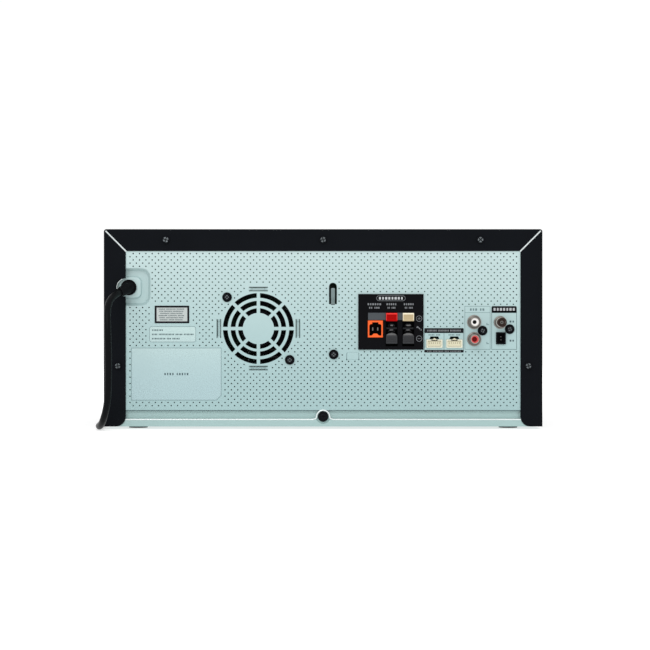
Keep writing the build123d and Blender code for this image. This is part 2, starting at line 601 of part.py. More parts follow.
def switches():
    """Small square switches on the front board, one behind each button."""
    made = []
    for x, z in [*key_places(), (POWER_X, POWER_Z)]:
        case = block(middle(x, 6), (FRONT_BOARD_Y - SWITCH_H + 0.8, FRONT_BOARD_Y), middle(z, 6))
        made.append(case + rod_y(x, z, 1.7, (FRONT_BOARD_Y - SWITCH_H, FRONT_BOARD_Y - 1)))
    return made


def front_board():
    """Board behind the front, open where the drawer passes."""
    board = block((-HALF + 10, HALF - 10), (FRONT_BOARD_Y, FRONT_BOARD_Y + BOARD), (BASE + 20, TOP - 12))
    span = (DRAWER_Z - DRAWER_H / 2 - 3, DRAWER_Z + DRAWER_H / 2 + 3)
    return board - block(middle(0, DRAWER_W + 8), (FRONT_BOARD_Y - 1, FRONT_BOARD_Y + 3), span)


def board_posts():
    """Spacers from the front moulding's wall to the front board."""
    places = [(sx * (HALF - 18), z) for sx in (-1, 1) for z in (BASE + 30, BASE + 92, TOP - 24)]
    places = [(x, z) for x, z in places if abs(z - DIAL_Z) > 20 or x < 0]
    return [rod_y(x, z, 3.5, (FRONT + FASCIA_WALL, FRONT_BOARD_Y)) for x, z in places]


def display_module():
    """Glass display on a tray that stands off the front board."""
    return block(middle(0, WINDOW_W - 24), (FRONT_BOARD_Y - 9, FRONT_BOARD_Y), middle(WINDOW_Z, WINDOW_H - 12))


def usb_sockets():
    made = []
    for x in USB_X:
        shell = block(middle(x, USB_W), (FRONT + 0.4, FRONT_BOARD_Y), middle(USB_Z, USB_H))
        shell -= block(middle(x, USB_W - 0.8), (FRONT, FRONT_BOARD_Y - 2.5), middle(USB_Z, USB_H - 0.8))
        tongue = block(middle(x, USB_W - 2), (FRONT + 2.0, FRONT_BOARD_Y - 2), (USB_Z + 0.3, USB_Z + 2.1))
        made.append(shell + tongue)
    return made


def mic_jacks():
    """Quarter-inch jack bushes with a bore right through the nose."""
    made = []
    for x in MIC_X:
        jack = rod_y(x, MIC_Z, MIC_COLLAR, (FRONT - 2.0, FRONT + FASCIA_WALL + 1))
        jack += block(middle(x, 16), (FRONT + FASCIA_WALL, FRONT_BOARD_Y), middle(MIC_Z, 16))
        made.append(jack - rod_y(x, MIC_Z, MIC_BORE, (FRONT - 3, FRONT_BOARD_Y - 1.5)))
    return made


# ================================================================ disc deck
def gear_outline(module, teeth, backlash):
    """Spur gear outline with involute flanks of a 20 degree pressure angle."""
    pitch_r = module * teeth / 2
    base_r = pitch_r * cos(radians(20))
    tip_r = pitch_r + 0.85 * module
    root_r = pitch_r - 1.15 * module
    half = pi / (2 * teeth) - backlash / (2 * pitch_r) + tan(radians(20)) - radians(20)
    points = []
    for i in range(teeth):
        middle_angle = 2 * pi * i / teeth
        flank = []
        for k in range(6):
            r = max(base_r, root_r) + (tip_r - max(base_r, root_r)) * k / 5
            roll = acos(min(1.0, base_r / r))
            flank.append((r, half - (tan(roll) - roll)))
        side = [(root_r, flank[0][1]), *flank]
        points += [(r, middle_angle - a) for r, a in side]
        points += [(r, middle_angle + a) for r, a in reversed(side)]
    return outline([(r * cos(a), r * sin(a)) for r, a in points])


def rack_outline(module, count, backlash):
    """Rack teeth pointing +X from the pitch line x = 0, the middle of a space at y = 0."""
    pitch = pi * module
    lean = tan(radians(20))
    half = pitch / 4 - backlash / 2
    tip, root = 0.85 * module, -1.15 * module
    points = [(root - 2.0, 0.0)]
    for i in range(count):
        centre = pitch * (i + 0.5)
        points += [(root, centre - half + root * lean), (tip, centre - half + tip * lean)]
        points += [(tip, centre + half - tip * lean), (root, centre + half - root * lean)]
    points += [(root, pitch * count), (root - 2.0, pitch * count)]
    return outline([(root, 0.0), *points[1:], points[0]])


def deck_frame():
    """Open moulded frame with tray rails, gear post, and posts that carry the clamp bridge."""
    inner, outer = DECK_OUTER - DECK_WALL, DECK_OUTER
    frame = block((-outer, outer), (DECK_FRONT, DECK_BACK), (DECK_BASE, DECK_FLOOR))
    for side in (-1, 1):
        wall = sorted((side * inner, side * outer))
        ledge = sorted((side * (inner - 5), side * inner))
        frame += block(wall, (DECK_FRONT, DECK_BACK), (DECK_BASE, TRAY_TOP + 6))
        frame += block(ledge, (DECK_FRONT, DECK_BACK), (DECK_FLOOR - 1, TRAY_UNDER - RAIL_GAP))
        frame += block(wall, middle(DISC_Y, BRIDGE_W), (DECK_BASE, BRIDGE_Z))
    frame += block((-outer, outer), (DECK_BACK, DECK_BACK + DECK_WALL), (DECK_BASE, TRAY_TOP + 6))
    well = (DISC_Y - 30, DISC_Y + 104)
    frame -= block((TRAVERSE_X[0] - 2, TRAVERSE_X[1] + 3), well, (DECK_BASE - 1, DECK_FLOOR + 1))
    frame -= rod_z(MOTOR_X, MOTOR_Y, 6.2, (DECK_BASE - 1, DECK_FLOOR + 1))
    frame += rod_z(GEAR_X, GEAR_Y, GEAR_BORE - SHAFT_FIT, (DECK_FLOOR - 1, TRAY_UNDER - 0.8))
    return frame + rod_z(GEAR_X, GEAR_Y, 3.2, (DECK_FLOOR - 1, DECK_FLOOR + 0.6))


def disc_tray():
    """Sliding tray with two disc recesses, an open slot for the spindle, and a rack beneath."""
    y = (TRAY_FRONT_Y, TRAY_FRONT_Y + TRAY_LENGTH)
    tray = block(middle(0, TRAY_W), y, (TRAY_UNDER, TRAY_TOP))
    tray -= rod_z(0, DISC_Y, DISC_POCKET, (TRAY_FLOOR, TRAY_TOP + 1))
    tray -= rod_z(0, DISC_Y, SMALL_DISC_POCKET, (TRAY_FLOOR - SMALL_DISC_STEP, TRAY_TOP))
    slot = level(Pos(0, DISC_Y) * Circle(TRAY_SLOT / 2), (TRAY_UNDER - 1, TRAY_TOP + 1))
    slot += block(middle(0, TRAY_SLOT), (DISC_Y, y[1] + 1), (TRAY_UNDER - 1, TRAY_TOP + 1))
    tray -= slot
    first = 3 * pi * GEAR_MODULE
    teeth = int((y[1] - 1 - (GEAR_Y - first)) / (pi * GEAR_MODULE))
    rack = level(rack_outline(GEAR_MODULE, teeth, BACKLASH), (0, RACK_H))
    return tray + Pos(RACK_X, GEAR_Y - first, TRAY_UNDER - RACK_H) * rack


def drawer_front():
    """Cap that closes the drawer's opening, seated on the tray's front edge."""
    cap = block(middle(0, DRAWER_W), (FRONT - DRAWER_PROUD, TRAY_FRONT_Y), middle(DRAWER_Z, DRAWER_H))
    return fillet(cap.faces().sort_by(Axis.Y)[0].edges(), 1.0)


def loading_gear():
    """Gear that drives the tray's rack, with its belt pulley beneath."""
    top = WHEEL_TOP
    teeth = Pos(GEAR_X, GEAR_Y) * Rot(0, 0, 180) * gear_outline(GEAR_MODULE, GEAR_TEETH, BACKLASH)
    wheel = level(teeth, (top - 3.4, top))
    wheel += rod_z(GEAR_X, GEAR_Y, PULLEY_R, (top - 5.2, top - 4.4))
    wheel += rod_z(GEAR_X, GEAR_Y, PULLEY_R - 1.2, (top - 6.8, top - 3.4))
    wheel += rod_z(GEAR_X, GEAR_Y, PULLEY_R, (top - 7.4, top - 6.8))
    return wheel - rod_z(GEAR_X, GEAR_Y, GEAR_BORE, (DECK_FLOOR, TRAY_UNDER))


def loading_belt():
    """Flat loop round the loading pulley and the motor pulley."""
    a, b = (GEAR_X, GEAR_Y), (MOTOR_X, MOTOR_Y)
    rings = []
    for extra in (1.0, 0.0):
        r1 = PULLEY_R - 1.2 + BELT_GAP + extra
        r2 = MOTOR_PULLEY_R + extra
        circles = [Edge.make_circle(r1).moved(Pos(*a)), Edge.make_circle(r2).moved(Pos(*b))]
        rings.append(make_hull(circles))
    return level(rings[0] - rings[1], BELT_Z)


def loading_motor():
    """Small motor hung from the deck frame, with its belt pulley."""
    can = rod_z(MOTOR_X, MOTOR_Y, 10.5, (DECK_BASE - 16, DECK_BASE))
    can += rod_z(MOTOR_X, MOTOR_Y, 1.0, (DECK_BASE - 1, DECK_FLOOR + 4))
    return can + rod_z(MOTOR_X, MOTOR_Y, MOTOR_PULLEY_R, (BELT_Z[0] - 0.4, BELT_Z[1] + 0.4))


def traverse():
    """Plate that carries the spindle motor, the rods and the sled's gear, on three feet to the deck frame."""
    y = (DISC_Y - 24, DISC_Y + 96)
    z = (TRAVERSE_Z, TRAVERSE_Z + TRAVERSE_T)
    plate = block(TRAVERSE_X, y, z)
    plate -= block(middle(0, 2 * ROD_X + 8), (DISC_Y + 16, DISC_Y + 86), (z[0] - 1, z[1] + 1))
    for side in (-1, 1):
        for end in ((DISC_Y + 12, DISC_Y + 16), (DISC_Y + 86, DISC_Y + 90)):
            plate += block(middle(side * ROD_X, 6), end, (z[0], ROD_Z + 2.4))
        plate -= rod_y(side * ROD_X, ROD_Z, ROD_R, (DISC_Y + 13, DISC_Y + 89))
        foot = middle(side * 20, 8)
        plate += block(foot, (DISC_Y - 34, DISC_Y - 23), z)
        plate += block(foot, (DISC_Y - 34, DISC_Y - 31), (DECK_FLOOR, z[0] + 1))
    plate += block((-8, 8), (DISC_Y + 94, DISC_Y + 108), z)
    plate += block((-8, 8), (DISC_Y + 105, DISC_Y + 108), (DECK_FLOOR, z[0] + 1))
    plate -= rod_z(0, DISC_Y, 4.0, (z[0] - 1, z[1] + 1))
    return plate + rod_z(SLED_GEAR_X, SLED_GEAR_Y, 1.0, (z[0], z[1] + 4.2))


def guide_rods():
    return [rod_y(side * ROD_X, ROD_Z, ROD_R, (DISC_Y + 13, DISC_Y + 89)) for side in (-1, 1)]


def spindle_motor():
    """Flat motor under the traverse with a bearing for the spindle."""
    motor = rod_z(0, DISC_Y, 11.0, (TRAVERSE_Z - 7, TRAVERSE_Z))
    motor += rod_z(0, DISC_Y, 4.0, (TRAVERSE_Z - 1, TRAVERSE_Z + TRAVERSE_T + 1.2))
    return motor - rod_z(0, DISC_Y, 1.0 + SHAFT_FIT, (TRAVERSE_Z - 6, TRAVERSE_Z + 5))


def turntable():
    """Disc seat with centring cone on the spindle."""
    seat = rod_z(0, DISC_Y, 14.5, (SEAT_Z - 2.0, SEAT_Z))
    seat += Pos(0, DISC_Y, SEAT_Z + 0.55) * Cone(7.4, 6.6, 1.1)
    return seat + rod_z(0, DISC_Y, 1.0, (TRAVERSE_Z - 5, SEAT_Z - 1))


def clamp_bridge():
    """Folded strip across the deck that holds the clamp over the disc."""
    z = (BRIDGE_Z, BRIDGE_Z + BRIDGE_T)
    bridge = block((-DECK_OUTER, DECK_OUTER), middle(DISC_Y, BRIDGE_W), z)
    bridge += rod_z(0, DISC_Y, 18, z)
    return bridge - rod_z(0, DISC_Y, PUCK_NECK + 1.0, (BRIDGE_Z - 1, BRIDGE_Z + 2))


def clamp_puck():
    """Clamp that turns with the disc: flange above the bridge, neck through it, pad below."""
    puck = rod_z(0, DISC_Y, PUCK_NECK + 4, (BRIDGE_Z + 1.5, BRIDGE_Z + 3.5))
    puck += rod_z(0, DISC_Y, PUCK_NECK, (SEAT_Z + 3, BRIDGE_Z + 2))
    return puck + rod_z(0, DISC_Y, 14.0, (SEAT_Z + 1.6, SEAT_Z + 4.0))


def pickup_sled():
    """Laser sled with bushes on the two rods, a rack on one side and its lens on top."""
    y = (SLED_Y, SLED_Y + SLED_L)
    sled = block((-15, 15), y, (ROD_Z - 4.5, TRAY_FLOOR - 1.6))
    sled = chamfer(sled.edges().filter_by(Axis.Z), 3.0)
    for side in (-1, 1):
        arm = sorted((side * 14, side * (ROD_X + 3.2)))
        sled += block(arm, (y[0] + 6, y[1] - 6), (ROD_Z - 2.4, ROD_Z + 2.4))
    sled += rod_z(0, y[0] + 12, 4.0, (TRAY_FLOOR - 2, TRAY_FLOOR - 0.9))
    for side in (-1, 1):
        sled -= rod_y(side * ROD_X, ROD_Z, ROD_R + SHAFT_FIT, (y[0], y[1]))
    pitch = pi * SLED_MODULE
    teeth = round((SLED_TRAVEL + 6) / pitch)
    start = round((SLED_TRAVEL + 3) / pitch) * pitch
    rack = level(rack_outline(SLED_MODULE, teeth, BACKLASH), (0, 2.0))
    rack_x = SLED_GEAR_X - SLED_GEAR_R
    sled += Pos(rack_x, SLED_GEAR_Y - start, ROD_Z - 0.4) * rack
    back = (rack_x - 1.15 * SLED_MODULE - 2.0, rack_x - 1.15 * SLED_MODULE)
    return sled + block((back[0] - 1.4, back[1]), (y[0] + 6, y[1] - 6), (ROD_Z - 0.4, ROD_Z + 1.6))


def sled_gear():
    z = (ROD_Z - 0.6, ROD_Z + 1.8)
    wheel = Pos(SLED_GEAR_X, SLED_GEAR_Y) * Rot(0, 0, 180) * gear_outline(SLED_MODULE, SLED_TEETH, BACKLASH)
    gear = level(wheel, z) + rod_z(SLED_GEAR_X, SLED_GEAR_Y, 2.2, (TRAVERSE_Z + TRAVERSE_T + 0.1, z[1]))
    return gear - rod_z(SLED_GEAR_X, SLED_GEAR_Y, 1.0 + SHAFT_FIT, (z[0] - 4, z[1] + 4))


def deck_brackets():
    """Two folded steel stands from the cabinet floor to the deck frame."""
    made = []
    for side in (-1, 1):
        x = sorted((side * BRACKET_X, side * (BRACKET_X + BRACKET_T)))
        web = block(x, (DECK_FRONT + 14, DECK_BACK - 8), (FLOOR, DECK_BASE))
        web -= block((x[0] - 1, x[1] + 1), (DECK_FRONT + 34, DECK_BACK - 30), (FLOOR + 14, DECK_BASE - 16))
        for reach, z in ((7, (FLOOR, FLOOR + BRACKET_T)), (13, (DECK_BASE - BRACKET_T, DECK_BASE))):
            flange = sorted((side * (BRACKET_X - reach), side * (BRACKET_X + BRACKET_T)))
            web += block(flange, (DECK_FRONT + 14, DECK_BACK - 8), z)
        made.append(web)
    return made


# ================================================================ electronics
def circuit_board(name):
    x, y = BOARDS[name]
    board = block(x, y, (BOARD_Z, BOARD_Z + BOARD))
    return board - [rod_z(px, py, 1.6, (BOARD_Z - 1, BOARD_Z + 3)) for px, py in board_corners(name)]


def board_screws():
    made = []
    for x, y in standoff_places():
        top = BOARD_Z + BOARD
        screw = rod_z(x, y, 2.8, (top, top + 2)) + rod_z(x, y, BOARD_SCREW_R, (BASE + 4, top))
        made.append(screw - block(middle(x, 3.6), middle(y, 0.7), (top + 1.2, top + 3)))
    return made


def heatsink():
    """Finned extrusion that stands on the amplifier board in the fan's air path."""
    low = BOARD_Z + BOARD
    y = (REAR - 84.0, REAR - 26.0)
    sink = block((6, 12), y, (low, SINK_TOP))
    for i in range(int((SINK_TOP - low - 4) / SINK_PITCH)):
        z = low + 6 + i * SINK_PITCH
        sink += block((11, 60), y, (z, z + SINK_FIN))
    return sink


def amp_chips():
    """Power packages clamped to the heatsink."""
    low = BOARD_Z + BOARD + 5
    return [block((1.5, 6), middle(y, 20), (low, low + 16)) for y in (REAR - 70, REAR - 42)]


def capacitors():
    """Smoothing capacitors on the amplifier and power boards."""
    low = BOARD_Z + BOARD
    places = [(x, REAR - back, 9, 32) for x in (-52, -30) for back in (34, 56)]
    places += [(186, REAR - 60, 12, 38), (104, REAR - 150, 6, 22), (120, REAR - 150, 6, 22)]
    return [rod_z(x, y, r, (low, low + h)) for x, y, r, h in places]


def transformer():
    """Wound core on the power board."""
    low = BOARD_Z + BOARD
    core = block(middle(140, 42), middle(REAR - 120, 36), (low + 4, low + 34))
    core += block(middle(140, 28), middle(REAR - 120, 46), (low + 8, low + 30))
    return core + block(middle(140, 34), middle(REAR - 120, 40), (low, low + 5))


def board_parts():
    """Packaged chips, filter coil, fuse holder and connectors on the three boards."""
    low = BOARD_Z + BOARD
    sizes = [((-150, 10), (20, 20, 1.8)), ((-120, 40), (14, 14, 1.6))]
    sizes += [((-170, -40), (24, 10, 8)), ((-110, -20), (8, 20, 8)), ((0, -20), (16, 9, 1.8))]
    sizes += [((160, 90), (20, 14, 18)), ((185, 50), (10, 24, 12)), ((150, 120), (22, 10, 10))]
    return [block(middle(x, w), middle(y, d), (low, low + h)) for (x, y), (w, d, h) in sizes]


def input_board():
    """Small board that carries the rear sockets."""
    return block((SIDE + 26, TERMINAL_X + 30), (REAR - 46, REAR - 2.5), (INPUT_BOARD_Z - BOARD, INPUT_BOARD_Z))


def input_posts():
    """Tall spacers that hold the socket board over the cabinet floor."""
    made = []
    for x in (SIDE + 32, TERMINAL_X + 24):
        made.append(rod_z(x, REAR - 10, POST_R, (FLOOR, INPUT_BOARD_Z - BOARD)))
        made.append(rod_z(x, REAR - 40, POST_R, (BOARD_Z + BOARD, INPUT_BOARD_Z - BOARD)))
    return made


# ================================================================ fan
def fan_frame():
    """Square frame with screw ears, inner struts and the motor's hub and bearing."""
    y = (PANEL_IN - FAN_DEPTH, PANEL_IN)
    frame = upright(Pos(FAN_X, FAN_Z) * RectangleRounded(FAN_SIZE, FAN_SIZE, 4), y)
    frame -= rod_y(FAN_X, FAN_Z, FAN_BORE, (y[0] - 1, y[1] + 1))
    frame += rod_y(FAN_X, FAN_Z, FAN_HUB, (y[0], y[0] + 2.5))
    for i in range(4):
        arm = block((FAN_HUB - 1, FAN_BORE + 1), (y[0], y[0] + 2.5), (-2, 2))
        frame += Pos(FAN_X, 0, FAN_Z) * Rot(0, 45 + 90 * i, 0) * arm
    frame += rod_y(FAN_X, FAN_Z, 3.2, (y[0], y[1] - 4))
    frame -= rod_y(FAN_X, FAN_Z, FAN_SHAFT + SHAFT_FIT, (y[0] + 1, y[1]))
    for sx in (-1, 1):
        for sz in (-1, 1):
            place = (FAN_X + sx * FAN_PITCH / 2, FAN_Z + sz * FAN_PITCH / 2)
            frame -= rod_y(*place, SCREW_R, (y[0] - 1, y[1] + 1))
    return frame


def fan_rotor():
    """Hub with seven pitched blades and its shaft."""
    y = (PANEL_IN - FAN_DEPTH + 2.5 + MOVE_GAP, PANEL_IN - 1.2)
    hub = rod_y(FAN_X, FAN_Z, FAN_HUB - 1, y) - rod_y(FAN_X, FAN_Z, FAN_HUB - 2.4, (y[0] - 1, y[1] - 1.4))
    hub += rod_y(FAN_X, FAN_Z, FAN_SHAFT, (PANEL_IN - FAN_DEPTH + 1.6, y[1] - 1))
    length = FAN_BORE - MOVE_GAP * 2 - (FAN_HUB - 2)
    for i in range(7):
        blade = Pos(FAN_HUB - 2 + length / 2, 0, 0) * Rot(42, 0, 0) * Box(length, 12.0, 1.2)
        blade &= block((0, FAN_BORE), (-4.4, 4.4), (-20, 20))
        hub += Pos(FAN_X, (y[0] + y[1]) / 2, FAN_Z) * Rot(0, 360 * i / 7, 0) * blade
    rim = rod_y(FAN_X, FAN_Z, FAN_BORE - MOVE_GAP * 2, (y[0] - 1, y[1] + 1))
    return hub & rim


# ================================================================ rear sockets
def lever_places():
    """(name, x, z of the middle, way the hinge lies) of the four terminal levers."""
    upper, lower = LEVER_ROWS
    left, right = LEVER_COLUMNS
    return (
        ("upper_lever_a", right, upper, 1),
        ("upper_lever_b", left, upper, 1),
        ("lower_lever_a", right, lower, -1),
        ("lower_lever_b", left, lower, -1),
    )


def lever_axle(z, way):
    """(y, z) of a lever's axle, close to the lever's outer end."""
    return REAR - AXLE_IN, z + way * (LEVER_H / 2 - 2.0)


def speaker_block():
    """Terminal moulding: face plate, sunk well with cheeks between the levers, and wire holes."""
    plate = upright(Pos(TERMINAL_X, TERMINAL_Z) * Rectangle(TERMINAL_W, TERMINAL_H), (REAR, REAR + TERMINAL_T))
    tub = Pos(WELL_X, WELL_Z) * Rectangle(WELL_W + 2 * WELL_WALL, WELL_H + 2 * WELL_WALL)
    body = plate + upright(tub, (REAR - WELL_DEPTH - WELL_BOSS, REAR + TERMINAL_T))
    well_y = (REAR - WELL_DEPTH, REAR + TERMINAL_T + 1)
    half = LEVER_W / 2 + LEVER_GAP
    for x in LEVER_COLUMNS:
        body -= block(middle(x, 2 * half), well_y, middle(WELL_Z, WELL_H))
    for _, x, z, way in lever_places():
        y, pivot = lever_axle(z, way)
        body -= rod_x(y, pivot, AXLE_R + AXLE_FIT, middle(x, LEVER_W + 2 * LEVER_PIN + 2 * LEVER_GAP))
        body -= rod_y(x, WIRE_Z + way * WIRE_PITCH / 2, WIRE_R, (REAR - WELL_DEPTH - 6, REAR))
    return body - block(middle(WOOFER_X, WOOFER_W), (REAR - SOCKET_BODY, REAR + 3), middle(WOOFER_Z, WOOFER_H))


def lever(x, z, way):
    """Sprung lever with a ribbed thumb face and a pin each side."""
    y, pivot = lever_axle(z, way)
    face = REAR + LEVER_PROUD
    pad = block(middle(x, LEVER_W), (REAR - LEVER_BACK, face), middle(z, LEVER_H))
    pad = fillet(pad.edges().filter_by(Axis.X).group_by(Axis.Y)[-1], 1.2)
    for i in (-1, 0, 1):
        pad -= block(middle(x, LEVER_W - 2), (face - 0.3, face + 1), middle(z + 1.6 * i, LEVER_RIB))
    return pad + rod_x(y, pivot, AXLE_R, middle(x, LEVER_W + 2 * LEVER_PIN))


def woofer_socket():
    """Polarised two-pin socket with a house-shaped mouth."""
    y = (REAR - SOCKET_BODY, REAR + WOOFER_PROUD)
    body = block(middle(WOOFER_X, WOOFER_W), y, middle(WOOFER_Z, WOOFER_H))
    w, low, high = 5.5, WOOFER_Z - 5.9, WOOFER_Z + 6.0
    mouth = [(-w, high), (w, high), (w, low + 3.0), (2.2, low), (-2.2, low), (-w, low + 3.0)]
    mouth = outline([(WOOFER_X + x, z) for x, z in mouth])
    return body - upright(mouth, (REAR - 9, REAR + 3))


def woofer_pins():
    y = (REAR - 9, REAR - 1.5)
    return [block(middle(WOOFER_X + dx, 1.0), y, middle(WOOFER_Z, 3.0)) for dx in (-2.4, 2.4)]


def light_sockets():
    """Two multi-way sockets with latch notches above."""
    made = []
    top = LIGHT_Z + LIGHT_H / 2
    inner_w, inner_h = LIGHT_W - 2 * LIGHT_WALL, LIGHT_H - 2 * LIGHT_WALL
    for x in LIGHT_X:
        shell = block(middle(x, LIGHT_W), (REAR - SOCKET_BODY, REAR + LIGHT_PROUD), middle(LIGHT_Z, LIGHT_H))
        shell -= block(middle(x, inner_w), (REAR - SOCKET_BODY + 2, REAR + 2), middle(LIGHT_Z, inner_h))
        shell -= block(middle(x, 6.0), (REAR - 6, REAR + 2), (top - LIGHT_WALL - 0.5, top + 1))
        leg = block(middle(x, LIGHT_W), (REAR - SOCKET_BODY, REAR - 4), (INPUT_BOARD_Z, LIGHT_Z - LIGHT_H / 2))
        made.append(shell + leg)
    return made


def light_pins():
    made = []
    y = (REAR - SOCKET_BODY + 2, REAR - 2)
    for x in LIGHT_X:
        for i in range(LIGHT_WAYS):
            pin = middle(x + (i - (LIGHT_WAYS - 1) / 2) * LIGHT_PITCH, 0.6)
            made.append(block(pin, y, middle(LIGHT_Z - 0.6, 0.6)))
    return made


def phono_barrels():
    """Plated phono sockets: flared collar on the panel, then the barrel."""
    made = []
    for z in PHONO_Z:
        collar = rod_y(PHONO_X, z, PHONO_COLLAR, (REAR - COLLAR_IN, REAR + COLLAR_PROUD))
        barrel = collar + rod_y(PHONO_X, z, PHONO_R, (REAR, REAR + SOCKET_PROUD))
        made.append(barrel - rod_y(PHONO_X, z, PHONO_R - PHONO_WALL, (REAR - 2, REAR + SOCKET_PROUD + 1)))
    return made


def phono_core(z):
    """Coloured insulator inside a phono socket, bored for the plug's pin."""
    core = rod_y(PHONO_X, z, PHONO_R - PHONO_WALL, (REAR - COLLAR_IN, REAR + SOCKET_PROUD - 0.4))
    return core - rod_y(PHONO_X, z, PHONO_BORE, (REAR - COLLAR_IN, REAR + SOCKET_PROUD + 1))


def phono_housing():
    """Moulded block behind the phono sockets, standing on the socket board."""
    low, high = INPUT_BOARD_Z, PHONO_Z[0] + 8
    body = block((PHONO_X - 11, PHONO_X + 8.5), (REAR - HOUSING_DEPTH, REAR - COLLAR_IN), (low, high))
    return body - rod_y(*PHONO_SCREW, SCREW_R, (REAR - HOUSING_DEPTH + 1, REAR))


def aerial_socket():
    """Coaxial aerial socket with its collar, on a metal body."""
    collar = rod_y(AERIAL_X, AERIAL_Z, AERIAL_COLLAR, (REAR - COLLAR_IN, REAR + COLLAR_PROUD))
    body = collar + rod_y(AERIAL_X, AERIAL_Z, AERIAL_R, (REAR, REAR + SOCKET_PROUD - 0.5))
    return body - rod_y(AERIAL_X, AERIAL_Z, AERIAL_R - AERIAL_WALL, (REAR - 2, REAR + SOCKET_PROUD))


def aerial_core():
    """Insulator and centre pin of the aerial socket."""
    bore = AERIAL_R - AERIAL_WALL
    core = rod_y(AERIAL_X, AERIAL_Z, bore, (REAR - COLLAR_IN, REAR + SOCKET_PROUD - 5.0))
    return core + rod_y(AERIAL_X, AERIAL_Z, AERIAL_PIN, (REAR, REAR + SOCKET_PROUD - 1.4))


def loop_socket():
    """Two-pin socket for the loop aerial, joined to the body behind both aerial sockets."""
    inner_w, inner_h = LOOP_W - 2 * LOOP_WALL, LOOP_H - 2 * LOOP_WALL
    body_z = (INPUT_BOARD_Z, AERIAL_Z + 8)
    shell = block(middle(LOOP_X, LOOP_W), (REAR - 4, REAR + 1.8), middle(LOOP_Z, LOOP_H))
    shell += block((AERIAL_X - 12, AERIAL_X + 8.5), (REAR - HOUSING_DEPTH, REAR - COLLAR_IN), body_z)
    shell -= block(middle(LOOP_X, inner_w), (REAR - 3.5, REAR + 3), middle(LOOP_Z, inner_h))
    return shell - rod_y(*AERIAL_SCREW, SCREW_R, (REAR - HOUSING_DEPTH + 1, REAR))


def loop_pins():
    return [block(middle(LOOP_X, 0.7), (REAR - 3.5, REAR + 1), middle(LOOP_Z + dz, 0.7)) for dz in (-1.5, 1.5)]


# ================================================================ screws, feet and labels
def washer_screw(x, z, y, washer, length):
    """Cross-head screw with a fixed washer, its head on the surface y and pointing -Y."""
    screw = rod_y(x, z, washer, (y, y + 0.9))
    head = fillet(rod_y(x, z, HEAD_R, (y + 0.5, y + 2.6)).faces().sort_by(Axis.Y)[-1].edges(), 0.8)
    screw += head + rod_y(x, z, SCREW_R, (y - length, y + 1))
    for size in ((3.4, 0.8), (0.8, 3.4)):
        screw -= block(middle(x, size[0]), (y + 1.6, y + 4), middle(z, size[1]))
    return screw


def panel_screws():
    """Screws with washers that hold the fan, the panel and the sockets."""
    places = [*FAN_SCREWS, MIDDLE_SCREW, PHONO_SCREW, AERIAL_SCREW]
    return [washer_screw(x, z, REAR, 4.6, 8.0) for x, z in places]


def cover_screws():
    """Screws that hold the cover's flanges."""
    places = [(x, COVER_SCREW_Z) for x in (-COVER_SCREW_X, 0, COVER_SCREW_X)]
    places += [(side * SIDE_SCREW[0], SIDE_SCREW[1]) for side in (-1, 1)]
    return [washer_screw(x, z, REAR + COVER_SHEET, 3.3, 6.0) for x, z in places]


def lip_screw():
    return washer_screw(*LIP_SCREW, REAR - LIP_RECESS, 5.0, 6.0)


def rubber_feet():
    places = [(sx * (HALF - FOOT_INSET), y) for sx in (-1, 1) for y in (FRONT + FOOT_INSET, REAR - FOOT_INSET)]
    return [rod_z(x, y, FOOT_R, (0, BASE)) for x, y in places]


def rating_labels():
    """Printed labels on the rear panel: rating plate, notice and warning."""
    y = (REAR, REAR + LABEL_T)
    plate = Rectangle(PLATE_W, PLATE_H)
    corner = plate.vertices().sort_by(lambda v: v.X + v.Y)[0]
    shapes = [Pos(PLATE_X, PLATE_Z) * chamfer([corner], PLATE_CUT)]
    shapes += [Pos(NOTICE_X, NOTICE_Z) * RectangleRounded(NOTICE_W, NOTICE_H, 2.0)]
    shapes += [Pos(WARNING_X, WARNING_Z) * Rectangle(WARNING_W, WARNING_H)]
    return [upright(shape, y) for shape in shapes]


# ================================================================ mains cord
def cord_gland():
    """Strain relief: flange on the pocket's seat, neck through it, and a tapered boot along the cord."""
    seat = REAR - POCKET_DEPTH + GLAND_SEAT
    inner = REAR - POCKET_DEPTH - PANEL_SHEET
    gland = rod_y(GLAND_X, GLAND_Z, GLAND_R, (seat, seat + GLAND_FLANGE))
    gland += rod_y(GLAND_X, GLAND_Z, GLAND_NECK, (inner - 4, seat + 1))
    gland += rod_y(GLAND_X, GLAND_Z, GLAND_NECK + 1.2, (inner - 4, inner - 0.1))
    start = Vector(GLAND_X, seat + 2.0, GLAND_Z)
    way = Vector(*BOOT_END) - start
    boot = Pos(0, 0, way.length / 2) * Cone(BOOT_R, CORD_R + 0.9, way.length)
    return gland + Plane(origin=start, z_dir=way) * boot


def run_radii(points):
    """Radius of the arc at each inner point: as large as the two runs beside it allow."""
    radii = []
    for a, b, c in zip(points, points[1:], points[2:]):
        before, after = Vector(*b) - Vector(*a), Vector(*c) - Vector(*b)
        turn = before.get_angle(after)
        radii.append(0.45 * min(before.length, after.length) / tan(radians(turn / 2)))
    return radii


def cord_tube(name, points):
    radii = run_radii(points)
    path = FilletPolyline(*points, radius=radii)
    start = Plane(origin=path @ 0, z_dir=path % 0)
    tube = sweep(start * Circle(CORD_R), path)
    ratio = tube.volume / (pi * CORD_R**2 * path.length)
    print(name, "length", round(path.length), "volume ratio", round(ratio, 4))
    print("radii", [round(r) for r in radii])
    return tube


def mains_cord():
    return cord_tube("mains_cord", CORD_ROUTE)


def cord_tail():
    return cord_tube("cord_tail", TAIL_ROUTE)


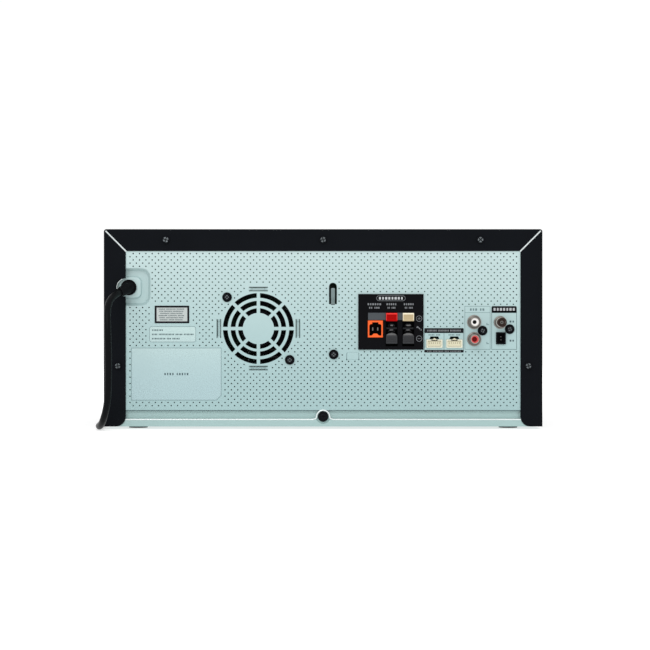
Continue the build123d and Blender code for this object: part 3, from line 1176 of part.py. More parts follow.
def cord_coil():
    """Outer shape of the coiled length."""
    inner, outer = COIL_R - COIL_SPREAD, COIL_R + COIL_SPREAD
    ring = Pos(COIL_X, COIL_Y, COIL_H / 2) * (Cylinder(outer, COIL_H) - Cylinder(inner, COIL_H))
    return fillet(ring.edges(), 3.0)


def coil_tie():
    """Band round the coil."""
    x, y = COIL_X + COIL_R * cos(radians(TIE_AT)), COIL_Y + COIL_R * sin(radians(TIE_AT))
    wide, tall = 2 * COIL_SPREAD, COIL_H
    band = Box(wide + 2, 7, tall + 2) - Box(wide + 0.4, 9, tall)
    band &= Pos(0, 0, 1) * Box(wide + 2, 7, tall + 2)
    return Pos(x, y, COIL_H / 2) * Rot(0, 0, TIE_AT) * band


def plug_body():
    """Moulded two-pin plug, lying on the floor, with a tapered tail."""
    body = Pos(PLUG_X, PLUG_Y, PLUG_H / 2) * Box(PLUG_L, PLUG_W, PLUG_H)
    body = fillet(body.edges().filter_by(Axis.X), PLUG_ROUND)
    low, high = PLUG_X - PLUG_L / 2, PLUG_X + PLUG_L / 2
    tail = rod_x(PLUG_Y, PLUG_H / 2, PLUG_NECK, (high - 1, TAIL_ROUTE[-1][0]))
    holes = [rod_x(PLUG_Y + dy, PLUG_H / 2, PIN_ROOT_R, (low - 1, low + PIN_ROOT_L)) for dy in PIN_Y]
    return body + tail - holes


def plug_pins():
    """Round-ended pins with thicker roots moulded into the plug."""
    face = PLUG_X - PLUG_L / 2
    made = []
    for dy in PIN_Y:
        pin = rod_x(PLUG_Y + dy, PLUG_H / 2, PIN_R, (face - PIN_L, face + 1))
        pin = fillet(pin.faces().sort_by(Axis.X)[0].edges(), PIN_R / 2)
        made.append(pin + rod_x(PLUG_Y + dy, PLUG_H / 2, PIN_ROOT_R, (face, face + PIN_ROOT_L)))
    return made


# ================================================================ every sub-part
def sub_parts():
    made = {
        "base_chassis": base_chassis(),
        "rear_panel": rear_panel(),
        "top_cover": top_cover(),
        "fascia": fascia(),
        "display_window": display_window(),
        "dial_ring": dial_ring(),
        "volume_dial": [volume_dial(), control_shaft(DIAL_X, DIAL_Z, KNOB_PROUD)],
        "level_knob": [level_knob(), control_shaft(LEVEL_X, MIC_Z, LEVEL_PROUD)],
        "rotary_controls": [control_bush(DIAL_X, DIAL_Z), control_bush(LEVEL_X, MIC_Z)],
        "power_button": power_button(),
        "front_board": [front_board(), *board_posts(), *switches()],
        "display_module": display_module(),
        "usb_sockets": usb_sockets(),
        "mic_jacks": mic_jacks(),
        "deck_frame": deck_frame(),
        "deck_steelwork": [clamp_bridge(), *deck_brackets()],
        "deck_motors": [loading_motor(), spindle_motor()],
        "loading_belt": loading_belt(),
        "loading_gear": loading_gear(),
        "disc_tray": disc_tray(),
        "drawer_front": drawer_front(),
        "traverse": traverse(),
        "guide_rods": guide_rods(),
        "turntable": turntable(),
        "clamp_puck": clamp_puck(),
        "pickup_sled": pickup_sled(),
        "sled_gear": sled_gear(),
        "circuit_boards": [*[circuit_board(name) for name in BOARDS], input_board(), *input_posts()],
        "board_parts": [*board_parts(), *amp_chips(), transformer()],
        "heatsink": heatsink(),
        "capacitors": capacitors(),
        "fan_frame": fan_frame(),
        "fan_rotor": fan_rotor(),
        "speaker_block": speaker_block(),
        "woofer_socket": woofer_socket(),
        "light_sockets": light_sockets(),
        "phono_barrels": phono_barrels(),
        "phono_white_core": phono_core(PHONO_Z[0]),
        "phono_red_core": phono_core(PHONO_Z[1]),
        "aerial_socket": aerial_socket(),
        "socket_housings": [phono_housing(), loop_socket(), aerial_core()],
        "socket_pins": [*woofer_pins(), *light_pins(), *loop_pins()],
        "screws": [*panel_screws(), *cover_screws(), lip_screw(), *board_screws()],
        "rubber_feet": rubber_feet(),
        "rating_labels": rating_labels(),
        "cord_gland": cord_gland(),
        "mains_cord": [mains_cord(), cord_tail()],
        "cord_coil": cord_coil(),
        "coil_tie": coil_tie(),
        "plug_body": plug_body(),
        "plug_pins": plug_pins(),
    }
    for name, (x, z) in zip(KEY_NAMES, key_places()):
        made[name] = key(x, z)
    for name, x, z, way in lever_places():
        made[name] = lever(x, z, way)
    return made


def all_solids(shape):
    pieces = shape if isinstance(shape, list) else [shape]
    return [solid for piece in pieces for solid in piece.solids()]


if __name__ == "__main__":
    os.makedirs("parts", exist_ok=True)
    for node, shape in sub_parts().items():
        solids = all_solids(shape)
        print(node, len(solids), round(sum(solid.volume for solid in solids)))
        export_step(solids[0] if len(solids) == 1 else Compound(solids), f"parts/{node}.step")
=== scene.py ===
"""Looks of the hifi main unit: studio, materials, cord, perforated rear panel, printing, sockets and front."""

import json
from math import asin, cos, degrees, pi, radians, sin

import bmesh
import bpy
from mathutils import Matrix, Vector
from mathutils.geometry import delaunay_2d_cdt


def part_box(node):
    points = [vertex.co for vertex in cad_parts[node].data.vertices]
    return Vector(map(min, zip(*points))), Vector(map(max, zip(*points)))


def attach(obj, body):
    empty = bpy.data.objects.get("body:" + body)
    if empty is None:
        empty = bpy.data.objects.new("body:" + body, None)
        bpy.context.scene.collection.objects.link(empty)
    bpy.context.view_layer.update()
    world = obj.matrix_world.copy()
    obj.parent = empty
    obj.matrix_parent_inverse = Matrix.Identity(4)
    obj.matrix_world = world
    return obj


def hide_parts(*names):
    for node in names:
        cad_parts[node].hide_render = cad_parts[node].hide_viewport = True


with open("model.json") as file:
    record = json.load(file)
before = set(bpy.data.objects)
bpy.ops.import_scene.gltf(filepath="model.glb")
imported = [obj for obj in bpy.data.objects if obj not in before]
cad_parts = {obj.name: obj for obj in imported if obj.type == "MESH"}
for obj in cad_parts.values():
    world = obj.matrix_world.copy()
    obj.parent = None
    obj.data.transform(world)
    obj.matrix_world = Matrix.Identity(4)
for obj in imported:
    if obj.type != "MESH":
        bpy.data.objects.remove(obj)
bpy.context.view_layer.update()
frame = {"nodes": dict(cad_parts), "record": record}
nodes = frame["nodes"]
MM = 0.001
CABINET = "cabinet"
COLUMNS = ("a", "b")  # the two columns of terminal levers


# ---- places, from the frame, in millimetres
def box(node):
    """(low, high) corners of a CAD node in millimetres."""
    low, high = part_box(node)
    return low / MM, high / MM


def centre(node):
    """Middle of a CAD node in millimetres."""
    low, high = box(node)
    return (low + high) / 2


COVER_LOW, COVER_HIGH = box("top_cover")
COVER_SHEET = 0.8
REAR = COVER_HIGH.y - COVER_SHEET
BASE, TOP, HALF = COVER_LOW.z, COVER_HIGH.z, COVER_HIGH.x
FRONT = box("fascia")[0].y
PANEL_LOW, PANEL_HIGH = box("rear_panel")
SHEET = 0.8
FLANGE = 21.0
FAN = centre("fan_frame")
TERMINAL_LOW, TERMINAL_HIGH = box("speaker_block")
TERMINAL = (TERMINAL_LOW + TERMINAL_HIGH) / 2
TERMINAL_FACE = TERMINAL_HIGH.y
LIGHT_LOW, LIGHT_HIGH = box("light_sockets")
LIGHT_SIZE = (15.2, 7.7)
LIGHTS = (LIGHT_LOW.x + LIGHT_SIZE[0] / 2, LIGHT_HIGH.x - LIGHT_SIZE[0] / 2)
LIGHT_Z = LIGHT_HIGH.z - LIGHT_SIZE[1] / 2
PHONO_WHITE, PHONO_RED = centre("phono_white_core"), centre("phono_red_core")
AERIAL = centre("aerial_socket")
WOOFER = centre("woofer_socket")
LOOP = Vector((AERIAL.x - 0.6, REAR, AERIAL.z - 15.2))
LOOP_SIZE = (9.1, 11.2)
GLAND = Vector((HALF - 23.6, REAR, BASE + 133.2))
HOOK = Vector((-9.4, REAR, BASE + 127.4))
HOOK_SIZE = (7.5, 20.6)
PAD = Vector((-28.4, REAR, BASE + 67.6))
DIAL = centre("volume_dial")


def metres(point):
    return tuple(value * MM for value in point)


# ---- camera, light and floor
CAMERA_AWAY = 1750.0
CAMERA_X, CAMERA_RISE = -1.8, 97.2
VIEW_WIDTH = 622.7  # what the picture's width spans at the rear panel
CLIP = (0.01, 50)
SKY_STRENGTH = 1.03
FLOOR_REACH = 12.0
FLOOR_GREY, FLOOR_GLOW = 0.5, 0.6  # the floor's own light keeps it pale under the object


def add_object(name, data):
    """A new object in the scene."""
    obj = bpy.data.objects.new(name, data)
    bpy.context.scene.collection.objects.link(obj)
    return obj


def make_camera():
    data = bpy.data.cameras.new("camera")
    data.lens = data.sensor_width * CAMERA_AWAY / VIEW_WIDTH
    data.clip_start, data.clip_end = CLIP
    camera = add_object("camera", data)
    camera.location = metres((CAMERA_X, REAR + CAMERA_AWAY, BASE + CAMERA_RISE))
    camera.rotation_euler = (radians(90), 0, radians(180))
    bpy.context.scene.camera = camera


def area_light(name, place, target, size, power):
    data = bpy.data.lights.new(name, "AREA")
    data.shape = "RECTANGLE"
    data.size, data.size_y = size
    data.energy = power
    light = add_object(name, data)
    light.location = place
    light.rotation_euler = (Vector(target) - Vector(place)).to_track_quat("-Z", "Y").to_euler()


def make_studio():
    world = bpy.data.worlds.new("studio")
    bpy.context.scene.world = world
    world.use_nodes = True
    background = world.node_tree.nodes["Background"]
    background.inputs["Color"].default_value = (1, 1, 1, 1)
    background.inputs["Strength"].default_value = SKY_STRENGTH
    bpy.context.scene.view_settings.view_transform = "Standard"
    area_light("key", (0.5, 1.7, 1.5), (0, 0.1, 0.1), (1.6, 1.0), 14)
    area_light("front_fill", (-0.8, -1.8, 1.2), (0, -0.1, 0.1), (1.5, 1.0), 16)
    mesh = bpy.data.meshes.new("floor")
    corners = [(x, z, 0) for x, z in rectangle(0, 0, 2 * FLOOR_REACH, 2 * FLOOR_REACH)]
    mesh.from_pydata(corners, [], [(0, 1, 2, 3)])
    floor = add_object("floor", mesh)
    material, shader = new_material("floor", (FLOOR_GREY,) * 3, 0.9)
    shader.inputs["Specular IOR Level"].default_value = 0.0
    shader.inputs["Emission Color"].default_value = (1, 1, 1, 1)
    shader.inputs["Emission Strength"].default_value = FLOOR_GLOW
    mesh.materials.append(material)


# ---- materials
SLOW_GRAIN = 60  # how much coarser the slow changes are than the fine grain
RELIEF = 0.0002
# painted shade: the rear panel's colour at its lit top and, darker, at its foot
PANEL_LIT, PANEL_SHADED = (0.49, 0.61, 0.60), (0.319, 0.465, 0.47)
FADE_POWER = 1.9
# solder mask green, darkened as painted shade for the boards seen through the panel's holes
SOLDER_MASK = (0.012, 0.07, 0.035)


def new_material(name, colour, roughness, metallic=0.0):
    """A material and its shader."""
    material = bpy.data.materials.new(name)
    material.use_nodes = True
    shader = material.node_tree.nodes["Principled BSDF"]
    shader.inputs["Base Color"].default_value = (*colour, 1)
    shader.inputs["Roughness"].default_value = roughness
    shader.inputs["Metallic"].default_value = metallic
    return material, shader


def add_node(material, kind, **sockets):
    """A shader node with its sockets set; an underscore stands for a space in a socket's name."""
    node = material.node_tree.nodes.new("ShaderNode" + kind)
    if kind == "Mix":
        node.data_type = "RGBA"
    for key, value in sockets.items():
        node.inputs[key.replace("_", " ")].default_value = value
    return node


def find_node(material, kind):
    return next(n for n in material.node_tree.nodes if n.bl_idname == "ShaderNode" + kind)


def join(source, output, target, socket):
    """Links a node's output to another node's input."""
    source.id_data.links.new(source.outputs[output], target.inputs[socket])


def set_ramp(ramp, dark, light):
    for element, colour in zip(ramp.color_ramp.elements, (dark, light)):
        element.color = (*colour, 1)


def grain(
    name,
    colour,
    roughness,
    metallic=0.0,
    scale=900.0,
    bump=0.15,
    spread=0.12,
    mottle=0.06,
    stretch=(1, 1, 1),
    gloss=0.5,
):
    """Surface with fine grain in its relief, and slow changes in its colour and roughness."""
    material, shader = new_material(name, colour, roughness, metallic)
    shader.inputs["Specular IOR Level"].default_value = gloss
    place = add_node(material, "TexCoord")
    mapping = add_node(material, "Mapping", Scale=stretch)
    join(place, "Object", mapping, "Vector")
    fine = add_node(material, "TexNoise", Scale=scale, Detail=3.0)
    slow = add_node(material, "TexNoise", Scale=scale / SLOW_GRAIN, Detail=2.0)
    for texture in (fine, slow):
        join(mapping, "Vector", texture, "Vector")
    limits = {"To_Min": max(0.02, roughness - spread), "To_Max": min(1.0, roughness + spread)}
    rough = add_node(material, "MapRange", **limits)
    join(slow, "Fac", rough, "Value")
    join(rough, "Result", shader, "Roughness")
    ramp = add_node(material, "ValToRGB")
    ramp.color_ramp.elements[0].position = 0.3
    ramp.color_ramp.elements[1].position = 0.7
    set_ramp(ramp, [c * (1 - mottle) for c in colour], [min(1, c * (1 + mottle)) for c in colour])
    join(slow, "Fac", ramp, "Fac")
    join(ramp, "Color", shader, "Base Color")
    relief = add_node(material, "Bump", Strength=bump, Distance=RELIEF)
    join(fine, "Fac", relief, "Height")
    join(relief, "Normal", shader, "Normal")
    return material


def wrinkle(name, colour, roughness, gloss):
    """Powder coat: a fine pebbled skin."""
    material = grain(name, colour, roughness, scale=1500, bump=0.35, spread=0.06, mottle=0.1, gloss=gloss)
    cells = add_node(material, "TexVoronoi", Scale=900)
    join(find_node(material, "Mapping"), "Vector", cells, "Vector")
    join(cells, "Distance", find_node(material, "Bump"), "Height")
    return material


def printed_board(name):
    """Solder mask with tracks and pads."""
    material = grain(name, SOLDER_MASK, 0.35, scale=500, bump=0.1)
    bricks = add_node(
        material,
        "TexBrick",
        Scale=160,
        Color1=(*SOLDER_MASK, 1),
        Color2=(0.01, 0.055, 0.028, 1),
        Mortar=(0.03, 0.13, 0.07, 1),
        Mortar_Size=0.03,
    )
    join(find_node(material, "Mapping"), "Vector", bricks, "Vector")
    join(bricks, "Color", find_node(material, "BsdfPrincipled"), "Base Color")
    return material


def lamp(name, colour, strength):
    """Plastic that gives its own light."""
    material = grain(name, colour, 0.4, scale=600, bump=0.08)
    shader = find_node(material, "BsdfPrincipled")
    shader.inputs["Emission Color"].default_value = (*colour, 1)
    shader.inputs["Emission Strength"].default_value = strength
    return material


def brushed_zinc(name, high, low, rise=(0.0, 0.19)):
    """Passivated steel: fine rolled grain, and painted shade that darkens its colour a little towards the floor.
    """
    material = grain(name, high, 0.5, 0.1, 700, 0.08, 0.1, 0.02, (1, 1, 3))
    ramp = find_node(material, "ValToRGB")
    set_ramp(ramp, (0.97, 0.975, 0.98), (1, 1, 1))
    split = add_node(material, "SeparateXYZ")
    fade = add_node(material, "MapRange", From_Min=rise[0], From_Max=rise[1])
    bend = add_node(material, "Math")
    bend.operation = "POWER"
    bend.inputs[1].default_value = FADE_POWER
    # painted shade: from the low colour near the floor up to the high one
    blend = add_node(material, "Mix", A=(*low, 1), B=(*high, 1))
    mottle = add_node(material, "Mix", Factor=1.0)
    mottle.blend_type = "MULTIPLY"
    join(find_node(material, "TexCoord"), "Object", split, "Vector")
    join(split, "Z", fade, "Value")
    join(fade, "Result", bend, 0)
    join(bend, "Value", blend, "Factor")
    join(blend, "Result", mottle, "A")
    join(ramp, "Color", mottle, "B")
    join(mottle, "Result", find_node(material, "BsdfPrincipled"), "Base Color")
    return material


GLOSSY = {"spread": 0.04, "gloss": 0.25}
MOULDED = {"scale": 1400, "bump": 0.3, "gloss": 0.25}
BRIGHT = {"scale": 800, "bump": 0.07, "gloss": 0.35}
PRINT = {"scale": 600, "bump": 0.05, "gloss": 0.1}
BARE = {"metallic": 1.0, "scale": 600, "bump": 0.08, "spread": 0.08}
# name: (colour, roughness, other settings of grain)
FINISHES = {
    "black_gloss": ((0.005, 0.005, 0.006), 0.14, {**GLOSSY, "scale": 120, "bump": 0.03}),
    "black_plastic": ((0.0045, 0.0045, 0.0055), 0.5, {**MOULDED, "bump": 0.1, "gloss": 0.02}),
    "clamp_black": ((0.016, 0.017, 0.019), 0.45, {**MOULDED, "gloss": 0.15}),
    "grey_plastic": ((0.032, 0.033, 0.036), 0.45, {**MOULDED, "gloss": 0.1}),
    "rail_grey": ((0.052, 0.06, 0.068), 0.45, MOULDED),
    # lighter grey as painted highlight: on the lower levers' shoulders and in the wire mouths
    "lever_grey": ((0.11, 0.11, 0.112), 0.4, MOULDED),
    "shadow_steel": ((0.14, 0.19, 0.19), 0.45, {**BARE, "metallic": 0.2}),
    "smoke_window": ((0.004, 0.004, 0.006), 0.1, {**GLOSSY, "scale": 80, "bump": 0.02}),
    "dial_metal": ((0.30, 0.31, 0.33), 0.3, {**BARE, "stretch": (1, 6, 1)}),
    "display_glass": ((0.01, 0.02, 0.02), 0.12, {**GLOSSY, "scale": 200, "bump": 0.02}),
    "chip_black": ((0.02, 0.02, 0.02), 0.55, MOULDED),
    "capacitor_sleeve": ((0.02, 0.03, 0.08), 0.3, {"scale": 300, "bump": 0.1}),
    # darkened to near black as painted shade, so the heatsink seen through the fan slots stays dark
    "sink_aluminium": ((0.03, 0.03, 0.032), 0.5, {**BARE, "metallic": 0.3, "stretch": (1, 0.1, 1)}),
    "deck_plastic": ((0.02, 0.02, 0.021), 0.5, MOULDED),
    "tray_plastic": ((0.03, 0.03, 0.032), 0.45, MOULDED),
    "white_plastic": ((0.75, 0.75, 0.72), 0.4, BRIGHT),
    "motor_steel": ((0.5, 0.5, 0.51), 0.3, BARE),
    "rod_steel": ((0.7, 0.7, 0.71), 0.18, BARE),
    "rubber": ((0.012, 0.012, 0.012), 0.75, {**MOULDED, "gloss": 0.15}),
    "jack_plating": ((0.42, 0.40, 0.37), 0.2, {**BARE, "mottle": 0.12}),
    # plating darkened as painted shade: the skirts round the round sockets, and the aerial's pin
    "dull_plating": ((0.17, 0.16, 0.145), 0.3, {**BARE, "mottle": 0.2}),
    "pin_plating": ((0.16, 0.15, 0.14), 0.3, BARE),
    "ivory_plastic": ((0.80, 0.78, 0.62), 0.4, BRIGHT),
    "ivory_shade": ((0.60, 0.57, 0.41), 0.5, BRIGHT),
    "ivory_dark": ((0.34, 0.31, 0.21), 0.5, BRIGHT),
    "phono_white": ((0.72, 0.70, 0.68), 0.35, BRIGHT),
    "phono_red": ((0.52, 0.05, 0.045), 0.35, BRIGHT),
    # dark red as painted shade in the red phono core's pin hole
    "socket_red": ((0.09, 0.001, 0.002), 0.5, PRINT),
    "socket_brown": ((0.03, 0.018, 0.014), 0.45, PRINT),
    "lever_red": ((0.36, 0.001, 0.001), 0.4, {**BRIGHT, "gloss": 0.05}),
    "lever_ivory": ((0.49, 0.39, 0.225), 0.36, BRIGHT),
    "lever_ivory_lit": ((0.85, 0.78, 0.60), 0.4, BRIGHT),
    "lever_red_lit": ((0.75, 0.02, 0.015), 0.4, BRIGHT),
    "orange_plastic": ((0.80, 0.10, 0.006), 0.4, BRIGHT),
    "screw_black": ((0.006, 0.007, 0.009), 0.4, {"scale": 900, "bump": 0.1, "mottle": 0.2, "gloss": 0.05}),
    "screw_glint": ((0.12, 0.14, 0.15), 0.3, {"scale": 900, "bump": 0.1, "mottle": 0.3}),
    "cord_black": ((0.003, 0.0034, 0.004), 0.35, {"scale": 900, "bump": 0.08, "gloss": 0.05}),
    "tie_white": ((0.7, 0.7, 0.7), 0.5, BRIGHT),
    # bare cut edges of the cover, and the painted highlight along the chassis lip
    "cut_edge": ((0.70, 0.76, 0.76), 0.25, {**BARE, "metallic": 0.4}),
    "print_black": ((0.008, 0.009, 0.011), 0.5, PRINT),
    "print_white": ((0.42, 0.44, 0.45), 0.5, PRINT),
    "print_dim": ((0.17, 0.18, 0.19), 0.5, PRINT),
    # print, and also the painted shadow under the panel's foot
    "print_grey": ((0.065, 0.10, 0.11), 0.55, PRINT),
    "print_pale": ((0.14, 0.205, 0.215), 0.55, PRINT),
    "paper_white": ((0.46, 0.50, 0.49), 0.6, PRINT),
    # black for painted shade: deep inside the orange socket, in the screws' cross recesses and in the white
    # phono core's hole
    "liner_black": ((0.002, 0.002, 0.002), 0.7, PRINT),
    "symbol_grey": ((0.35, 0.36, 0.38), 0.4, PRINT),
}
# name: (maker, its settings after the name)
SPECIAL_FINISHES = {
    "black_steel": (wrinkle, (0.0045, 0.0054, 0.0072), 0.45, 0.03),
    # these three darken towards the floor as painted shade
    "zinc_steel": (brushed_zinc, PANEL_LIT, PANEL_SHADED),
    "chassis_steel": (brushed_zinc, PANEL_LIT, (0.335, 0.475, 0.465), (0.0, 0.25)),
    "label_film": (brushed_zinc, (0.455, 0.59, 0.575), (0.355, 0.49, 0.51), (0.02, 0.1)),
    "light_ring": (lamp, (0.35, 0.6, 0.9), 0.6),
    "display_glow": (lamp, (0.25, 0.75, 0.9), 1.4),
    "board_green": (printed_board,),
}
made_finishes = {}


def finish(name):
    """The material of a name, made when it is first asked for."""
    if name not in made_finishes:
        if name in SPECIAL_FINISHES:
            maker, *settings = SPECIAL_FINISHES[name]
            made_finishes[name] = maker(name, *settings)
        else:
            colour, roughness, settings = FINISHES[name]
            made_finishes[name] = grain(name, colour, roughness, **settings)
    return made_finishes[name]


def dress_cad():
    """Each CAD node takes the material of its slot."""
    for part in frame["record"]["subparts"]:
        mesh = nodes[part["node"]].data
        mesh.materials.clear()
        mesh.materials.append(finish(part["material_slot"]))


# ---- outlines in X and Z
def placed(outline, x, z, scale=1.0, rise=None):
    """An outline scaled, by another factor in Z if one is given, and then moved."""
    rise = scale if rise is None else rise
    return [(x + a * scale, z + b * rise) for a, b in outline]


def turned(outline, x, z, angle, scale=1.0):
    """An outline scaled, turned by an angle in degrees, and then moved."""
    c, s = scale * cos(radians(angle)), scale * sin(radians(angle))
    return [(x + a * c - b * s, z + a * s + b * c) for a, b in outline]


def arc(start, sweep, steps):
    """Points on a circle of radius 1, from an angle through a sweep, in degrees."""
    angles = [radians(start + sweep * k / steps) for k in range(steps + 1)]
    return [(cos(a), sin(a)) for a in angles]


def band(line, x, z, outer, inner):
    """The outline between two radii along an arc."""
    return placed(line, x, z, outer) + placed(line[::-1], x, z, inner)


def mirrored(half):
    """A symmetric outline from its right half, which starts on the middle line."""
    return half + [(-a, b) for a, b in reversed(half[1:])]


def rectangle(x, z, w, h):
    return placed([(-1, -1), (1, -1), (1, 1), (-1, 1)], x, z, w / 2, h / 2)


def rounded(x, z, w, h, r, steps=5):
    """A rectangle with round corners."""
    points = []
    for corner, (cx, cz) in enumerate(rectangle(x, z, w - 2 * r, h - 2 * r)):
        points += placed(arc(180 + 90 * corner, 90, steps), cx, cz, r)
    return points


def circle(x, z, r, count=32, start=0.0):
    return placed(arc(start, 360 * (count - 1) / count, count - 1), x, z, r)


def arch(x, z, w, h, steps=10):
    """An upright slot with a round top."""
    r = w / 2
    return [(x - r, z - h / 2), (x + r, z - h / 2), *placed(arc(0, 180, steps), x, z + h / 2 - r, r)]


class Shape:
    """Points in millimetres and faces, gathered from several simple solids."""

    def __init__(self, points=(), faces=()):
        self.points, self.faces = list(points), list(faces)

    def loft(self, rings, close=False):
        """Joins rings of equal length; the end rings are capped unless they close on each other."""
        start, count = len(self.points), len(rings[0])
        for ring in rings:
            self.points += [tuple(p) for p in ring]
        pairs = list(zip(range(len(rings)), range(1, len(rings))))
        if close:
            pairs.append((len(rings) - 1, 0))
        for a, b in pairs:
            first, second = start + a * count, start + b * count
            for i in range(count):
                j = (i + 1) % count
                self.faces.append((first + i, first + j, second + j, second + i))
        if not close:
            last = start + (len(rings) - 1) * count
            self.faces.append(tuple(start + i for i in reversed(range(count))))
            self.faces.append(tuple(last + i for i in range(count)))
        return self

    def stack(self, outlines, close=False):
        """Joins outlines in X and Z, each given with its Y value."""
        return self.loft([[(x, y, z) for x, z in outline] for outline, y in outlines], close)

    def plate(self, outline, y0, y1):
        return self.stack([(outline, y0), (outline, y1)])

    def bar(self, x, z, w, h, y0, y1):
        return self.plate(rectangle(x, z, w, h), y0, y1)

    def frame(self, outer, inner, y0, y1):
        """A flat ring between two outlines of equal length."""
        return self.stack([(outer, y0), (outer, y1), (inner, y1), (inner, y0)], close=True)

    def build(self, name, slot, body=CABINET, smooth=None, replaces=()):
        """Makes it a piece; smooth shading, if given, keeps edges sharper than that angle."""
        mesh = bpy.data.meshes.new(name)
        mesh.from_pydata([metres(p) for p in self.points], [], self.faces)
        made = bmesh.new()
        made.from_mesh(mesh)
        bmesh.ops.recalc_face_normals(made, faces=made.faces)
        if smooth:
            for face in made.faces:
                face.smooth = True
            for edge in made.edges:
                edge.smooth = len(edge.link_faces) == 2 and edge.calc_face_angle() < radians(smooth)
        made.to_mesh(mesh)
        made.free()
        mesh.materials.append(finish(slot))
        obj = add_object(name, mesh)
        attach(obj, body)
        if replaces:
            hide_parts(*replaces)


def lathe(name, x, z, profile, slot, count=48):
    """A turned piece about a Y axis from (radius, y) points; the profile closes on itself."""
    rings = [[(x + r * c, y, z + r * s) for r, y in profile] for c, s in circle(0, 0, 1, count)]
    Shape().loft(rings, close=True).build(name, slot, smooth=40)


def tube(name, points, radius, slot, kind="NURBS", resolution=5):
    """A round line that follows points in millimetres."""
    data = bpy.data.curves.new(name, "CURVE")
    data.dimensions = "3D"
    data.bevel_depth = radius * MM
    data.bevel_resolution = data.resolution_u = resolution
    data.use_fill_caps = True
    spline = data.splines.new(kind)
    spline.points.add(len(points) - 1)
    for point, place in zip(spline.points, points):
        point.co = (*metres(place), 1)
    spline.order_u = 3
    spline.use_endpoint_u = True
    data.materials.append(finish(slot))
    return add_object(name, data)


# ---- mains cord
BOOT_END = (193.2, 177.0, 130.1)
CORD_R = 3.25
CORD_ROUTE = (
    BOOT_END,
    (198.2, 189.3, 126.6),
    (201.2, 199.6, 118.4),
    (200.6, 208.0, 105.8),
    (199.6, 211.6, 88.8),
    (199.0, 212.0, 62.5),
    (199.6, 209.6, 35.2),
    (201.8, 204.6, 22.0),
    (205.6, 195.6, 11.4),
    (209.6, 182.8, 5.0),
    (213.4, 168.6, CORD_R),
    (215.6, 141.5, CORD_R),
    (214.9, 97.0, CORD_R),
    (216.6, 49.0, CORD_R),
    (215.2, -3.0, CORD_R),
    (217.2, -55.0, CORD_R),
    (215.6, -103.0, CORD_R),
    (217.9, -146.0, CORD_R),
    (215.0, -181.0, CORD_R),
)
COIL = (171.5, -208.0)
OUTER, INNER = 39.4, 32.6  # radii of the turns
LOW, HIGH = CORD_R, 9.9  # heights of the two layers
# (turns made, radius, height): in along the floor, up at the inner turn, and out on top
COIL_STAGES = (
    *((0, OUTER, LOW), (0.9, OUTER, LOW), (1.1, INNER, LOW), (1.95, INNER, LOW)),
    *((2.2, INNER, HIGH), (3.05, INNER, HIGH), (3.3, OUTER, HIGH), (4.25, OUTER, HIGH)),
)
TURN_POINTS = 16
TAIL_ROUTE = (
    (151.0, -247.6, 9.6),
    (136.6, -245.8, 8.2),
    (124.0, -242.3, 7.0),
    (121.0, -242.0, 7.0),
)


def coil_points():
    """Points along the coil, evenly spaced in angle."""
    points = []
    for i in range(round(COIL_STAGES[-1][0] * TURN_POINTS) + 1):
        turn = i / TURN_POINTS
        stage = sum(turn >= later[0] for later in COIL_STAGES[1:-1])
        (start, r0, z0), (end, r1, z1) = COIL_STAGES[stage : stage + 2]
        share = (turn - start) / (end - start)
        r, angle = r0 + (r1 - r0) * share, -2 * pi * turn
        points.append((COIL[0] + r * cos(angle), COIL[1] + r * sin(angle), z0 + (z1 - z0) * share))
    return points


def curve_length(points):
    """Length of the smooth line that the points control."""
    probe = tube("probe", points, 0, "cord_black")
    mesh = bpy.data.meshes.new_from_object(probe)
    total = sum((mesh.vertices[e.vertices[0]].co - mesh.vertices[e.vertices[1]].co).length for e in mesh.edges)
    bpy.data.objects.remove(probe)
    return total


def make_cord():
    points = [*CORD_ROUTE, *coil_points(), *TAIL_ROUTE]
    cord = tube("mains_lead", points, CORD_R, "cord_black")
    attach(cord, CABINET)
    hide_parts("mains_cord", "cord_coil")
    metres(BOOT_END)
    round(curve_length(points), 3)


# ---- perforated rear panel
PANEL_CORNER = 2.5
HEM_DEPTH = 2.6
PERF_PITCH = 6.07
PERF_R = 0.70
PERF_SIDES = 8
PERF_TOP, PERF_BOTTOM = TOP - 23.4, PANEL_LOW.z + 4.2
PERF_EDGE = HALF - 25.0
GRILLE_RINGS = ((29.5, 34.0), (22.0, 26.6), (15.0, 19.5))
GRILLE_QUIET = 36.3
SPOKE = 3.2
LANCE = (18.2, 4.3)  # length and width of the strips pressed between slits round the fan
LANCE_REACH = 37.85
LANCE_DEPTH, LANCE_RAMP = 2.6, 3.2
SLIT = 0.8
# along, out and half width of the cable hook's tongue
HOOK_BENDS = (
    *((-0.6, 0, 1.85), (0.9, 0, 1.85), (2.0, 0.5, 1.85), (5.4, 3.0, 1.85)),
    *((6.6, 3.4, 1.85), (14.4, 3.4, 1.85), (15.4, 3.1, 1.4)),
)
POCKET = (GLAND.x - 2.4, GLAND.z + 0.4, 37.4, 36.4)
POCKET_ROUND, POCKET_DEPTH = 9.0, 5.0
# (inset from the opening, depth) down the pocket's wall
POCKET_WALL = ((0, 0), (0.25, 0.18), (0.6, 0.62), (2.2, 4.2), (2.6, 4.75), (3.2, POCKET_DEPTH))
SEAT = (24.6, 21.2, 5.2)  # width, height and corner of the seat in the pocket
SEAT_WALL = ((0, 0), (0.5, 0.9), (0.75, 1.9), (1.15, 2.3), (1.9, 2.4))  # inset and height
PAD_SIZE = (11.4, 6.8)
PAD_RISE = 0.35
FIT = 0.4  # play round a socket in its opening
PHONO_OPENING, AERIAL_OPENING = 6.9, 6.3


